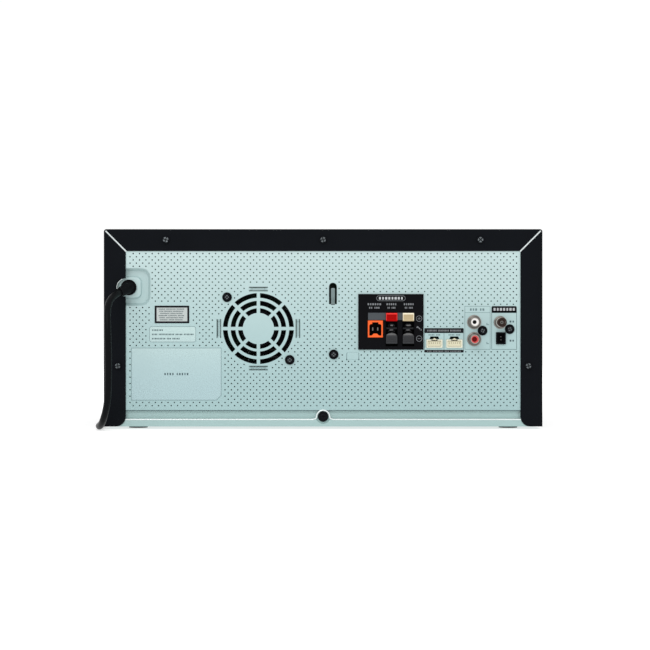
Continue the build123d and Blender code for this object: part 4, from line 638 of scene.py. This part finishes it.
def grille_slot(low, high, eighth):
    """One slot: part of a ring between two spokes, its ends parallel to the spokes."""
    points = []
    for r, way in ((high, 1), (low, -1)):
        trim = degrees(asin(SPOKE / 2 / r))
        points += placed(arc(45 * eighth + trim, 45 - 2 * trim, 8)[::way], FAN.x, FAN.z, r)
    return points


def lance_places():
    """(x, z, upright?) of the four pressed strips."""
    sides = [(FAN.x + way * LANCE_REACH, FAN.z, True) for way in (-1, 1)]
    return sides + [(FAN.x, FAN.z + way * LANCE_REACH, False) for way in (-1, 1)]


def panel_cuts():
    """Outlines of the panel's working openings."""
    cuts = [grille_slot(low, high, k) for low, high in GRILLE_RINGS for k in range(8)]
    for x, z, tall in lance_places():
        cuts.append(rectangle(x, z, *(LANCE[::-1] if tall else LANCE)))
    cuts.append(arch(HOOK.x, HOOK.z, *HOOK_SIZE))
    cuts.append(rounded(*POCKET, POCKET_ROUND))
    cuts.append(rectangle(TERMINAL.x, TERMINAL.z - 7, TERMINAL_HIGH.x - TERMINAL_LOW.x - 12, 38))
    key = [(-4.7, FIT), (4.7, FIT), (3.8, 3.0), (-3.8, 3.0)]
    for x in LIGHTS:
        cuts.append(rectangle(x, LIGHT_Z, LIGHT_SIZE[0] + FIT, LIGHT_SIZE[1] + FIT))
        cuts.append(placed(key, x, LIGHT_Z + LIGHT_SIZE[1] / 2))
    for socket, r in ((PHONO_WHITE, PHONO_OPENING), (PHONO_RED, PHONO_OPENING), (AERIAL, AERIAL_OPENING)):
        cuts.append(circle(socket.x, socket.z, r, 24))
    cuts.append(rectangle(LOOP.x, LOOP.z, LOOP_SIZE[0] + FIT, LOOP_SIZE[1] + FIT))
    return cuts


def quiet_zones():
    """Places with no perforations: (x, z, half width, half height), and (x, z, radius)."""
    boxes = [(POCKET[0] + 6, POCKET[1], POCKET[2] / 2 + 6.3, POCKET[3] / 2 + 1.2)]
    boxes += [(x, z, w / 2 + edge, h / 2 + edge) for x, z, w, h, edge in LABELS.values()]
    boxes.append((TERMINAL.x, TERMINAL.z, 32.75, 28.25))
    for (x, z, w, h), side in ((LIGHT_FRAME, 1.5), (AUX_FRAME, 1.9), (AERIAL_FRAME, 1.9)):
        boxes.append((x, z, w / 2 + side, h / 2 + 1.5))
    boxes.append((HOOK.x, HOOK.z, HOOK_SIZE[0] / 2 + 1.2, HOOK_SIZE[1] / 2 + 1.2))
    boxes.append((PAD.x, PAD.z, 7.4, 5.0))
    for x, z, tall in lance_places():
        across, along = LANCE[1] / 2 + 2.0, LANCE[0] / 2 + 2.0
        boxes.append((x, z, across, along) if tall else (x, z, along, across))
    return boxes, [(FAN.x, FAN.z, GRILLE_QUIET), *[(x, z, 5.8) for x, z in PANEL_SCREWS]]


def perforations():
    """Centres of the small round holes, rows half a pitch apart and staggered."""
    boxes, discs = quiet_zones()
    places = []
    row, z = 0, PERF_TOP
    while z > PERF_BOTTOM:
        x = PERF_EDGE - (PERF_PITCH / 2 if row % 2 == 0 else 0)
        while x > -PERF_EDGE - 1:
            clear = all(abs(x - bx) > w or abs(z - bz) > h for bx, bz, w, h in boxes)
            if clear and all((x - cx) ** 2 + (z - cz) ** 2 > r * r for cx, cz, r in discs):
                places.append((x, z))
            x -= PERF_PITCH
        z -= PERF_PITCH / 2
        row += 1
    return places


def inside(x, z, loop):
    hit = False
    for (x0, z0), (x1, z1) in zip(loop, loop[1:] + loop[:1]):
        if (z0 > z) != (z1 > z) and x < (x1 - x0) * (z - z0) / (z1 - z0) + x0:
            hit = not hit
    return hit


def sheet_with_holes(outline, cuts, holes, y0, y1):
    """A flat sheet with any number of openings and small round holes."""
    loops = [outline, *cuts, *[circle(x, z, PERF_R, PERF_SIDES, 180 / PERF_SIDES) for x, z in holes]]
    flat, edges, owner = [], [], []
    for number, loop in enumerate(loops):
        start = len(flat)
        flat += [Vector(p) for p in loop]
        owner += [number] * len(loop)
        edges += [(start + i, start + (i + 1) % len(loop)) for i in range(len(loop))]
    made = delaunay_2d_cdt(flat, edges, [], 0, 1e-5)
    assert len(made[0]) == len(flat), "openings cross"
    faces = []
    for face in made[2]:
        own = {owner[i] for i in face}
        if len(own) == 1:
            number = own.pop()
            middle = sum((flat[i] for i in face), Vector((0, 0))) / len(face)
            if number > len(cuts) or (number and inside(*middle, loops[number])):
                continue
        faces.append(tuple(face))
    count = len(flat)
    backs = [tuple(i + count for i in reversed(face)) for face in faces]
    walls = [(a, b, b + count, a + count) for a, b in edges]
    return Shape([(x, y, z) for y in (y1, y0) for x, z in flat], faces + backs + walls)


def make_panel():
    """Rear panel with its small round holes, in place of the plain CAD one."""
    low, high, half = PANEL_LOW.z, PANEL_HIGH.z, PANEL_HIGH.x
    outline = [(-half, low), (half, low)]
    for start, side in ((0, 1), (90, -1)):
        corner = (side * (half - PANEL_CORNER), high - PANEL_CORNER)
        outline += placed(arc(start, 90, 4), *corner, PANEL_CORNER)
    sheet = sheet_with_holes(outline, panel_cuts(), perforations(), REAR - SHEET, REAR)
    sheet.build("perforated_panel", "zinc_steel", replaces=["rear_panel"])
    hem = Shape().bar(0, low + SHEET / 2, 2 * half, SHEET, REAR - HEM_DEPTH, REAR - SHEET)
    hem.build("panel_hem", "zinc_steel")


def make_pocket():
    """Pressed pocket with soft edges, and the raised seat under the cord gland."""
    x, z, w, h = POCKET
    front, back = [], []
    for inset, depth in POCKET_WALL:
        wide, tall, r = w - 2 * inset, h - 2 * inset, POCKET_ROUND - 0.7 * inset
        front.append((rounded(x, z, wide, tall, r), REAR - depth))
        back.append((rounded(x, z, wide + 1, tall + 1, r + 0.5), REAR - depth - SHEET))
    Shape().stack(back[::-1] + front).build("cord_pocket", "zinc_steel", smooth=50)
    w, h, r = SEAT
    seat = []
    for inset, height in SEAT_WALL:
        outline = rounded(GLAND.x, GLAND.z, w - 2 * inset, h - 2 * inset, r - 0.6 * inset)
        seat.append((outline, REAR - POCKET_DEPTH + height))
    Shape().stack(seat).build("gland_seat", "zinc_steel", smooth=50)


def bent_strip(name, slot, x, z, tall, bends):
    """A strip of sheet through (along, out, half width) points, upright or level."""
    rings = []
    for along, out, half in bends:
        ring = []
        for side, back in ((-1, 0), (1, 0), (1, SHEET), (-1, SHEET)):
            a, b = (side * half, along) if tall else (along, side * half)
            ring.append((x + a, REAR + out - back, z + b))
        rings.append(ring)
    Shape().loft(rings).build(name, slot)


def make_lances():
    """The strips pressed inwards between two slits round the fan, and the cable hook's tongue."""
    reach, half = LANCE[0] / 2, LANCE[1] / 2 - SLIT
    ends = [(reach + 0.3, 0, half), (reach, -0.1, half), (reach - LANCE_RAMP, -LANCE_DEPTH, half)]
    bends = [(-along, out, wide) for along, out, wide in ends] + ends[::-1]
    for number, (x, z, tall) in enumerate(lance_places()):
        bent_strip(f"fan_strip_{number + 1}", "zinc_steel", x, z, tall, bends)
    bent_strip("cable_hook", "shadow_steel", HOOK.x, HOOK.z - HOOK_SIZE[1] / 2, True, HOOK_BENDS)


def make_pad():
    """Half-sheared pad: a shallow plate with its slit round three sides."""
    w, h = PAD_SIZE
    outline, inner = rounded(PAD.x, PAD.z, w, h, 1.2), rounded(PAD.x, PAD.z, w - 0.6, h - 0.6, 0.9)
    Shape().stack([(outline, REAR), (inner, REAR + PAD_RISE)]).build("knockout_pad", "zinc_steel")
    line, reach, r = 0.55, w / 2 + 0.3, 1.4
    path = [(reach, -h / 2 - 0.6), (reach, h / 2 - r), *placed(arc(30, 60, 2), reach - r, h / 2 - r, r)]
    path += [(-a, b) for a, b in reversed(path)]
    shrink = (reach - line) / reach
    inner = [(a * shrink, b if b < 0 else b - line) for a, b in reversed(path)]
    slit = Shape().plate(placed(path + inner, PAD.x, PAD.z), REAR, REAR + 0.06)
    for side in (-1, 1):
        slit.plate(circle(PAD.x + side * (w / 2 + 0.1), PAD.z - h / 2 - 0.2, 0.62, 12), REAR, REAR + 0.09)
    slit.build("knockout_slit", "print_grey")


# ---- printing
INK = 0.05  # thickness of print
LABEL_FILM = 0.15  # thickness of the labels under their print
PLATE_CUT = 4.8
# x, z, width, height, and the margin kept clear of perforations
LABELS = {
    "plate": (140.6, BASE + 50.2, 86.2, 50.2, 1.0),
    "notice": (144.1, BASE + 88.3, 44.4, 15.0, 2.4),
    "warning": (144.8, BASE + 107.3, 33.2, 16.9, 2.4),
}
LIGHT_FRAME = (-115.8, BASE + 82.5, 37.8, 23.4)
AUX_FRAME = (-147.9, BASE + 94.5, 24.6, 41.6)
AERIAL_FRAME = (-173.4, BASE + 94.5, 24.2, 41.6)
HEADER = 6.2
PANEL_SCREWS = (
    (FAN.x + 30, FAN.z + 30),
    (FAN.x - 30, FAN.z - 30),
    (-10.1, BASE + 69.0),
    (PHONO_WHITE.x - 8.0, (PHONO_WHITE.z + PHONO_RED.z) / 2),
    (AERIAL.x - 9.0, AERIAL.z - 6.5),
)


class Ink(Shape):
    """Printed marks of one colour on one face, gathered into one piece."""

    def __init__(self, face):
        super().__init__()
        self.face = face

    def patch(self, outline, lift=0.0):
        return self.plate(outline, self.face + lift, self.face + lift + INK)

    def dash(self, x, z, w, h, lift=0.0):
        self.patch(rectangle(x, z, w, h), lift)

    def border(self, x, z, w, h, line, r=0.0, lift=0.0):
        outer = rounded(x, z, w, h, max(r, 0.01), 4)
        inner = rounded(x, z, w - 2 * line, h - 2 * line, max(r - line, 0.005), 4)
        self.frame(outer, inner, self.face + lift, self.face + lift + INK)

    def ring(self, x, z, r, line):
        self.frame(circle(x, z, r), circle(x, z, r - line), self.face, self.face + INK)

    def words(self, x, z, w, h, counts, weight=0.62, lift=0.0):
        """Plain dashes in place of lettering: counts gives how many dashes each group has."""
        pitch = w / (sum(counts) + (len(counts) - 1) * 0.7)
        left = x + w / 2
        for group, count in enumerate(counts):
            for k in range(count):
                share = weight * (1.0, 0.84, 1.12)[(group + k) % 3]
                self.dash(left - pitch * (k + 0.5), z, pitch * share, h * 0.82, lift)
            left -= pitch * (count + 0.7)


def cut_plate(inset):
    """The large plate's outline, moved in, with a lower corner cut off."""
    x, z, w, h, _ = LABELS["plate"]
    (left, foot), _, (right, head), _ = rectangle(x, z, w - 2 * inset, h - 2 * inset)
    cut = PLATE_CUT - 0.6 * inset
    return [(right, head), (left, head), (left, foot + cut), (left + cut, foot), (right, foot)]


def print_labels():
    face = REAR + LABEL_FILM
    black, grey, pale, paper = Ink(face), Ink(face), Ink(face), Ink(face)
    x, z, w, h, _ = LABELS["warning"]
    paper.dash(x, z, w - 2.8, h - 2.8)
    black.border(x, z, w, h, 1.9, 0.6, INK)
    for k, counts in enumerate(((6, 9, 7), (4, 8, 10), (9, 5, 6), (7, 7, 5), (5, 10, 4), (8, 6, 8))):
        grey.words(x + 0.6, z + 5.1 - 2.05 * k, 24.5 - (k % 3) * 1.4, 1.05, counts, lift=2 * INK)
    x, z, w, h, _ = LABELS["notice"]
    pale.border(x, z, w, h, 0.34, 2.0)
    for k, (width, counts) in enumerate(((11.0, (7,)), (40.2, (4, 11, 5, 7)), (27.0, (9, 3, 5)))):
        grey.words(x + 20.1 - width / 2, z + 4.0 - 4.1 * k, width, 1.7, counts)
    pale.frame(cut_plate(0), cut_plate(0.36), face, face + INK)
    grey.words(*LABELS["plate"][:2], 24.0, 2.6, (4, 5), 0.5)
    black.build("warning_border", "print_black")
    grey.build("label_marks", "print_grey")
    pale.build("label_outlines", "print_pale")
    paper.build("warning_paper", "paper_white")


def print_terminals():
    """Title, two rows of captions, the polarity marks and the rails on the terminal plate."""
    ink, dim = Ink(TERMINAL_FACE), Ink(TERMINAL_FACE)
    x, z = TERMINAL.x, TERMINAL.z
    dim.border(x, z + 22.6, 27.8, 5.2, 0.38, 2.5)
    ink.words(x, z + 22.6, 24.0, 2.9, (8,))
    for column, width, count in ((x + 15.9, 13.6, 6), (x - 0.5, 10.2, 5), (x - 17.1, 10.2, 5)):
        dim.words(column, z + 16.9, width, 2.2, (count,))
        dim.words(column, z + 13.5, width * 0.78, 2.0, (2, 3))
    mark = x - 27.0
    for dz in (3.1, -16.0):
        dim.ring(mark, z + dz, 2.9, 0.42)
        dim.dash(mark, z + dz, 2.8, 0.4)
    dim.dash(mark, z + 3.1, 0.4, 2.8)
    dim.patch(placed([(2.4, -4.2), (1.2, -4.2), (-2.2, -7.6), (-2.2, -8.8)], mark, z))
    dim.dash(mark + 1.6, z - 5.4, 1.9, 0.7)
    dim.dash(mark - 1.6, z - 7.4, 1.6, 1.0)
    ink.build("terminal_title", "print_white")
    dim.build("terminal_captions", "print_dim")
    rail = Shape()
    for low, high in ((4.7, 22.0), (-11.3, -6.1)):
        spot, wide, tall = (x + (low + high) / 2, z + 5.2), high - low, 7.2
        foot, top = rectangle(*spot, wide, tall), rectangle(*spot, wide - 0.5, tall - 0.6)
        rail.stack([(foot, TERMINAL_FACE), (top, TERMINAL_FACE + 0.6)])
    rail.build("terminal_rail", "rail_grey")


def print_panel_frames():
    """Title bars and frames round the lighting, auxiliary and aerial sockets."""
    black, white, dim, grey, pale = Ink(REAR), Ink(REAR + INK), Ink(REAR + INK), Ink(REAR), Ink(REAR)
    x, z, w, h = LIGHT_FRAME
    for edge, bar, counts in ((1, 4.7, (7, 8, 8)), (-1, 2.6, (3, 7, 3, 7))):
        middle = z + edge * (h / 2 - bar / 2)
        black.patch(rounded(x, middle, w, bar, 0.8))
        dim.words(x, middle, w * 0.86, bar * 0.45, counts)
    for side in (-1, 1):
        grey.dash(x + side * (w / 2 - 0.2), z, 0.36, h - 5)
    grey.dash(x, z - 1.2, 0.34, h - 7.2)
    for column in LIGHTS:
        grey.words(column, z + 5.2, 11.5, 1.3, (4, 3))
    x, z, w, h = AUX_FRAME
    pale.border(x, z, w, h, 0.36)
    pale.dash(x, z + h / 2 - HEADER, w, 0.34)
    pale.words(x + 0.4, z + h / 2 - HEADER / 2 - 0.2, 14.6, 2.7, (3, 2))
    for dz in (3.6, -14.6):
        pale.dash(x - 9.0, z + dz, 0.7, 2.0)
        pale.dash(x - 10.2, z + dz - 0.6, 1.4, 0.7)
    x, z, w, h = AERIAL_FRAME
    black.patch(rounded(x, z + h / 2 - HEADER / 2, w, HEADER, 1.3))
    black.dash(x, z + h / 2 - HEADER + 0.7, w, 1.4)
    white.words(x, z + h / 2 - HEADER / 2, 21.4, 3.1, (7,))
    grey.border(x, z - HEADER / 2, w, h - HEADER, 0.38)
    for dz in (6.0, -12.3):
        grey.words(x - 7.4, z + dz, 5.2, 2.2, (2,))
    black.build("panel_bars", "print_black")
    white.build("aerial_marks", "print_white")
    dim.build("lighting_marks", "print_dim")
    grey.build("panel_frames", "print_grey")
    pale.build("panel_pale_lines", "print_pale")


# ---- sockets
# right halves of the orange socket's mouth in millimetres, and of its housing in half widths and heights
MOUTH = [(0.0, -4.4), (1.5, -4.4), (3.5, -6.3), (5.8, -6.3), (5.8, 3.4), (4.9, 4.6), (3.0, 4.8), (3.0, 6.4)]
HOUSING = [(0, -1), (0.25, -1), (0.6, -1), (1, -1), (1, 0.5), (1, 0.8), (1, 1), (0.4, 1)]
SOCKET_DEPTH, SOCKET_LIP = 9.0, 0.3
NOTCH_R = 8.8  # of the flange's notch beside the gland
MITRE_LINE = 0.48  # half of each mitre's line, across X and Z
SCREW_STEPS = ((1.0, -0.6), (1.0, -0.25), (0.93, -0.05), (0.72, 0.28), (0.42, 0.4))  # radius and height
GLINT_START, GLINT_SWEEP = degrees(0.28), degrees(1.0)
AERIAL_SHIFT = 0.9  # how far its centre shows to one side of its collar's


def make_woofer_socket():
    """Orange two-pin socket with its keyed mouth, and a black liner as painted shade in the deep inside."""
    low, high = box("woofer_socket")
    spot = (WOOFER.x, WOOFER.z)
    w, h, face, back = (high.x - low.x) / 2, (high.z - low.z) / 2, high.y, REAR - SOCKET_DEPTH
    mouth, housing = placed(mirrored(MOUTH), *spot), mirrored(HOUSING)
    outer = placed(housing, *spot, w, h)
    rim = placed(housing, *spot, w * (1 - SOCKET_LIP / 7), h * (1 - SOCKET_LIP / 8))
    loops = [(outer, back), (outer, face - SOCKET_LIP), (rim, face), (mouth, face), (mouth, back)]
    shape = Shape().stack(loops, close=True)
    shape.build("keyed_socket", "orange_plastic", replaces=["woofer_socket"])
    # painted shade: a black liner down the mouth
    deep = placed(mirrored(MOUTH), *spot, 0.97)
    liner = Shape().stack([(mouth, back), (deep, REAR - 0.6), (deep, REAR - 8.4)])
    liner.build("socket_liner", "liner_black")


def make_wire_clamps():
    """Between each pair of levers: the bridge between them and the wire mouths' hoods."""
    shape = Shape()
    back, face = REAR - 5.5, REAR - 0.6
    for column in COLUMNS:
        upper, lower = centre(f"upper_lever_{column}"), centre(f"lower_lever_{column}")
        x, z = upper.x, (upper.z + lower.z) / 2
        steps = ((10.4, 1.8, back), (10.4, 1.5, face), (9.6, 0.8, face + 0.5))
        shape.stack([(rectangle(x, z, w, h), y) for w, h, y in steps])
        for rise in (-2.2, 3.4):
            shape.frame(arch(x, z + rise, 6.4, 3.0), arch(x, z + rise, 5.6, 2.4), back, face - 1.2)
    shape.build("wire_guides", "clamp_black")


def make_lower_lever_caps():
    """Arched shoulder over each lower lever, as moulded in one with its pad, in a lighter grey as painted
    highlight where light falls on its top.
    """
    half, rise, dome = 5.1, 2.6, arc(0, 180, 12)
    for column in COLUMNS:
        body = f"lower_lever_{column}"
        x, foot = centre(body).x, box(body)[1].z - 0.2
        back, front = placed(dome, x, foot, half, rise), placed(dome, x, foot, half * 0.94, rise * 0.86)
        shape = Shape().stack([(back, REAR - 1.4), (front, REAR + 1.6)])
        shape.build(f"lever_shoulder_{column}", "lever_grey", body=body)


def make_socket_skirts():
    """Flared skirts behind the round sockets, their plating darkened as painted shade."""
    for name, spot, r in (("white", PHONO_WHITE, 6.7), ("red", PHONO_RED, 6.7), ("aerial", AERIAL, 6.1)):
        steps = ((0, 0), (0, 0.6), (0.3, 0.9), (1.0, 1.15), (1.6, 2.2), (2.3, 2.4), (2.6, 0))
        profile = [(r - inset, REAR + rise) for inset, rise in steps]
        lathe(f"socket_skirt_{name}", spot.x, spot.z, profile, "dull_plating")


def make_bright_edges():
    """Bare edges of the cover: round its notch beside the gland, and along its mitres."""
    notch = band(arc(-68, 136, 16), HALF - FLANGE, GLAND.z, NOTCH_R, NOTCH_R * 0.95)
    notch = Shape().plate(notch, REAR + 0.1, REAR + COVER_SHEET - 0.05)
    notch.build("notch_edge", "cut_edge")
    strip = Shape()
    for side in (-1, 1):
        start = Vector((side * (HALF - 1.6), TOP - 1.6))
        end = Vector((side * (HALF - FLANGE - 0.4), TOP - FLANGE - 0.4))
        across = Vector((MITRE_LINE, -side * MITRE_LINE))
        quad = [start + across, start - across, end - across, end + across]
        strip.plate(quad, REAR + 0.05, REAR + 0.45)
    strip.build("mitre_edges", "cut_edge")


def loose_boxes(node):
    """(low, high) corners in millimetres of each separate solid in a CAD node's mesh."""
    made = bmesh.new()
    made.from_mesh(nodes[node].data)
    seen, boxes = set(), []
    for vertex in made.verts:
        if vertex in seen:
            continue
        island, stack = [], [vertex]
        seen.add(vertex)
        while stack:
            current = stack.pop()
            island.append(current.co / MM)
            for edge in current.link_edges:
                other = edge.other_vert(current)
                if other not in seen:
                    seen.add(other)
                    stack.append(other)
        lows = Vector(min(p[i] for p in island) for i in range(3))
        highs = Vector(max(p[i] for p in island) for i in range(3))
        boxes.append((lows, highs))
    made.free()
    return boxes


def make_screw_heads():
    """Domed heads over the rear screws, with a painted highlight in a broken ring and small sparks, and a cross
    recess painted black as shade.
    """
    domes, glints, recesses = Shape(), Shape(), Shape()
    arm = [(0.12, -0.1), (0.55, -0.1), (0.55, 0.1), (0.12, 0.1)]
    spark = [(0.14, 0.12), (0.42, 0.12), (0.14, 0.40)]
    for low, high in loose_boxes("screws"):
        if high.y < REAR + 0.3:
            continue
        x, z, y = (low.x + high.x) / 2, (low.z + high.z) / 2, high.y
        r = (high.x - low.x) / 2 + 0.05
        glint_reach = 1.35 * r if abs(x) > HALF - FLANGE or z > TOP - FLANGE else r
        domes.stack([(circle(x, z, r * share, 28), y + rise) for share, rise in SCREW_STEPS])
        turn = degrees((x * 7 + z) % 1.5)  # each screw stopped at its own angle
        for angle in (turn, turn + 90, turn + 180, turn + 270):
            # painted highlight: a broken bright ring and a small spark by each arm of the cross
            glint_arc = band(arc(angle + GLINT_START, GLINT_SWEEP, 6), x, z, glint_reach * 0.62, glint_reach * 0.47)
            glints.plate(glint_arc, y + 0.2, y + 0.41)
            # painted shade: the cross recess drawn as a black cross on the dome
            recesses.plate(turned(arm, x, z, angle, r), y + 0.2, y + 0.43)
            glints.plate(turned(spark, x, z, angle, r), y + 0.2, y + 0.42)
    domes.build("screw_domes", "screw_black", smooth=50)
    glints.build("screw_glints", "screw_glint")
    recesses.build("screw_recesses", "liner_black")


def make_lever_faces():
    """Raised rims along the top and sides of the upper levers, lighter than the rest as a painted highlight."""
    for column, lit in zip(COLUMNS, ("lever_red_lit", "lever_ivory_lit")):
        body = f"upper_lever_{column}"
        low, high = box(body)
        x, z, w, y = (low.x + high.x) / 2, (low.z + high.z) / 2, high.x - low.x - 2.0, high.y
        foot, top = rectangle(x, high.z - 0.85, w - 0.2, 1.5), rectangle(x, high.z - 0.85, w - 0.8, 1.1)
        edge = Shape().stack([(foot, y - 0.2), (top, y + 0.25)])
        for side in (-1, 1):
            edge.bar(x + side * (w / 2 - 0.45), z, 0.5, high.z - low.z - 1.6, y - 0.1, y + 0.1)
        edge.build(f"{body}_edge", lit, body=body)


def make_wire_mouths():
    """Grey bars in the wire mouths, as painted highlight on their ridges."""
    mouth_glints = Shape()
    for column, width in zip(COLUMNS, (2.4, 3.9)):
        upper, lower = box(f"upper_lever_{column}"), box(f"lower_lever_{column}")
        x = (upper[0].x + upper[1].x) / 2
        mouth_glints.bar(x - 0.2, upper[0].z - 3.9, width, 1.3, REAR - 1.5, REAR - 0.3)
        mouth_glints.bar(x + 0.3, lower[1].z + 5.2, 3.2, 0.9, REAR - 1.5, REAR - 0.3)
    mouth_glints.build("wire_tips", "lever_grey")


def make_socket_fittings():
    """What shows inside the small sockets, partly as painted shade, and a dark strip as painted shadow under the
    panel's foot.
    """
    # painted shade: dark discs over the phono cores' pin holes, black in the white core and dark red in the red
    # one
    cores = (("white", PHONO_WHITE, 1.9, "liner_black"), ("red", PHONO_RED, 2.4, "socket_red"))
    for name, spot, r, slot in cores:
        face = box(f"phono_{name}_core")[1].y
        hole = Shape().plate(circle(spot.x + 0.4, spot.z, r, 24), face - 0.3, face + 0.05)
        hole.build(f"phono_{name}_hole", slot)
    x, z, y = AERIAL.x - AERIAL_SHIFT, AERIAL.z, box("aerial_socket")[1].y
    liner = Shape().frame(circle(x, z, 4.5), circle(x, z, 3.3), y - 1.2, y + 0.08)
    liner.build("aerial_liner", "socket_brown")
    Shape().plate(circle(x, z, 3.3), y - 2.0, y - 0.9).build("aerial_core", "socket_brown")
    pin = Shape().frame(circle(x + 0.2, z, 1.5), circle(x + 0.2, z, 0.75), y - 2.2, y - 0.4)
    pin.build("aerial_pin", "dull_plating")
    # painted shade: the carriers in darker ivory and their slots darker still, inside the light sockets
    carrier, slots = Shape(), Shape()
    face, (w, h) = LIGHT_HIGH.y, (size - 2.6 for size in LIGHT_SIZE)
    for x in LIGHTS:
        carrier.bar(x, LIGHT_Z, w, h, face - 3.0, face - 0.5)
        for k in range(6):
            slots.bar(x + (k - 2.5) * w / 6.4, LIGHT_Z + 0.5, 0.7, 1.5, face - 0.6, face - 0.42)
        slots.bar(x, LIGHT_Z + h / 2 - 0.25, w, 0.5, face - 0.6, face - 0.42)
        nose = placed([(-2.6, -0.3), (2.6, -0.3), (0, 1.5)], x, LIGHT_HIGH.z)
        carrier.plate(nose, face - 2.0, face - 0.3)
    carrier.build("light_carriers", "ivory_shade")
    slots.build("light_slots", "ivory_dark")
    # painted shadow: a thin dark strip along the panel's foot
    gap = Shape().bar(0, PANEL_LOW.z - 0.1, 2 * (HALF - FLANGE) + 4, 0.55, REAR - 0.4, REAR + 0.04)
    gap.build("panel_foot_gap", "print_grey")


def make_lip_edge():
    """Rolled upper edge of the chassis lip, rising over the screw's dish, in a bright finish as painted
    highlight where it faces up to the light.
    """
    z, dish, reach = box("base_chassis")[0].z + 6.7, 6.2, HALF - 12.5
    rise = [(reach, z), (dish + 3.4, z), (dish + 0.6, z + 0.9)]
    path = [(-px, pz) for px, pz in rise]
    path += placed(arc(160, -140, 14), 0, BASE + 9.4, dish) + rise[::-1]
    edge = tube("lip_edge", [(px, REAR - 0.25, pz) for px, pz in path], 0.72, "cut_edge", "POLY", 3)
    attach(edge, CABINET)


# ---- front
SUNK = 0.02  # how far print on the front reaches into its face
BARS = 22
SCALE_MARKS = 30
SCALE_START, SCALE_SWEEP = 225, -270


def pointer(shift, way):
    """A triangle that points to the right for 1 and to the left for -1."""
    return placed([(-way, -1), (way, 0), (-way, 1)], shift, 0, 1.6)


SYMBOLS = {
    "eject_button": [[(-2, -0.6), (2, -0.6), (0, 2)], rectangle(0, -1.6, 4, 0.7)],
    "source_button": [],  # a ring, which isn't one outline
    "back_button": [pointer(-0.2, -1), pointer(2.6, -1)],
    "play_button": [pointer(-1.6, 1), rectangle(1.5, 0, 0.7, 3.2), rectangle(3.0, 0, 0.7, 3.2)],
    "next_button": [pointer(0.2, 1), pointer(-2.6, 1)],
    "power_button": [rectangle(0, 2.2, 0.7, 2.8), band(arc(125, 290, 20), 0, 0, 3.2, 2.5)],
}


def make_display():
    window = centre("display_window")
    glow = Shape()
    for k in range(BARS):
        tall = 3.0 + 9.0 * abs(sin(1.7 * k)) * (0.4 + 0.6 * sin(pi * (k + 1) / (BARS + 1)))
        for step in range(int(tall / 1.5)):
            spot = (window.x - 52 + 5 * k, window.z - 9 + 1.6 * step)
            glow.bar(*spot, 3.6, 1.0, FRONT - 0.12, FRONT + SUNK)
    glow.build("display_bars", "display_glow")


def make_key_symbols():
    for key, outlines in SYMBOLS.items():
        spot, face = centre(key), box(key)[0].y
        shape = Shape()
        for outline in outlines:
            shape.plate(placed(outline, spot.x, spot.z), face - INK, face + SUNK)
        if not outlines:
            shape.frame(circle(spot.x, spot.z, 2.0), circle(spot.x, spot.z, 1.5), face - INK, face + SUNK)
        name = "power_symbol" if key == "power_button" else f"{key}_symbol"
        shape.build(name, "symbol_grey", body=key)


def make_front_lines():
    """The drawer's grip line and the marks round the dial."""
    low, high = box("drawer_front")
    line = Shape().bar((low.x + high.x) / 2, low.z + 3.0, high.x - low.x - 16, 0.7, low.y - INK, low.y + SUNK)
    line.build("drawer_line", "symbol_grey", body="tray")
    ring = Shape()
    for k in range(SCALE_MARKS + 1):
        outer = 46.4 if k % 5 else 47.6
        mark = [(44.0, -0.3), (outer, -0.3), (outer, 0.3), (44.0, 0.3)]
        angle = SCALE_START + SCALE_SWEEP * k / SCALE_MARKS
        ring.plate(turned(mark, DIAL.x, DIAL.z, angle), FRONT - INK, FRONT + SUNK)
    ring.build("dial_scale", "symbol_grey")


def make_drawer_seal():
    """Black strip inside the front that closes the gap over the closed drawer."""
    front, tray = box("drawer_front"), box("disc_tray")
    wide = front[1].x - front[0].x + 6
    low, high = tray[1].z + 0.5, front[1].z + 3
    seal = Shape().bar(0, (low + high) / 2, wide, high - low, front[1].y + 0.5, front[1].y + 1.7)
    seal.build("drawer_seal", "rubber")


make_studio()
make_camera()
dress_cad()
make_cord()
for make in (make_panel, make_pocket, make_lances, make_pad, print_labels, print_terminals, print_panel_frames):
    make()
for make in (make_woofer_socket, make_wire_clamps, make_lower_lever_caps, make_socket_skirts, make_bright_edges):
    make()
for make in (make_screw_heads, make_lever_faces, make_wire_mouths, make_socket_fittings, make_lip_edge):
    make()
for make in (make_display, make_key_symbols, make_front_lines, make_drawer_seal):
    make()
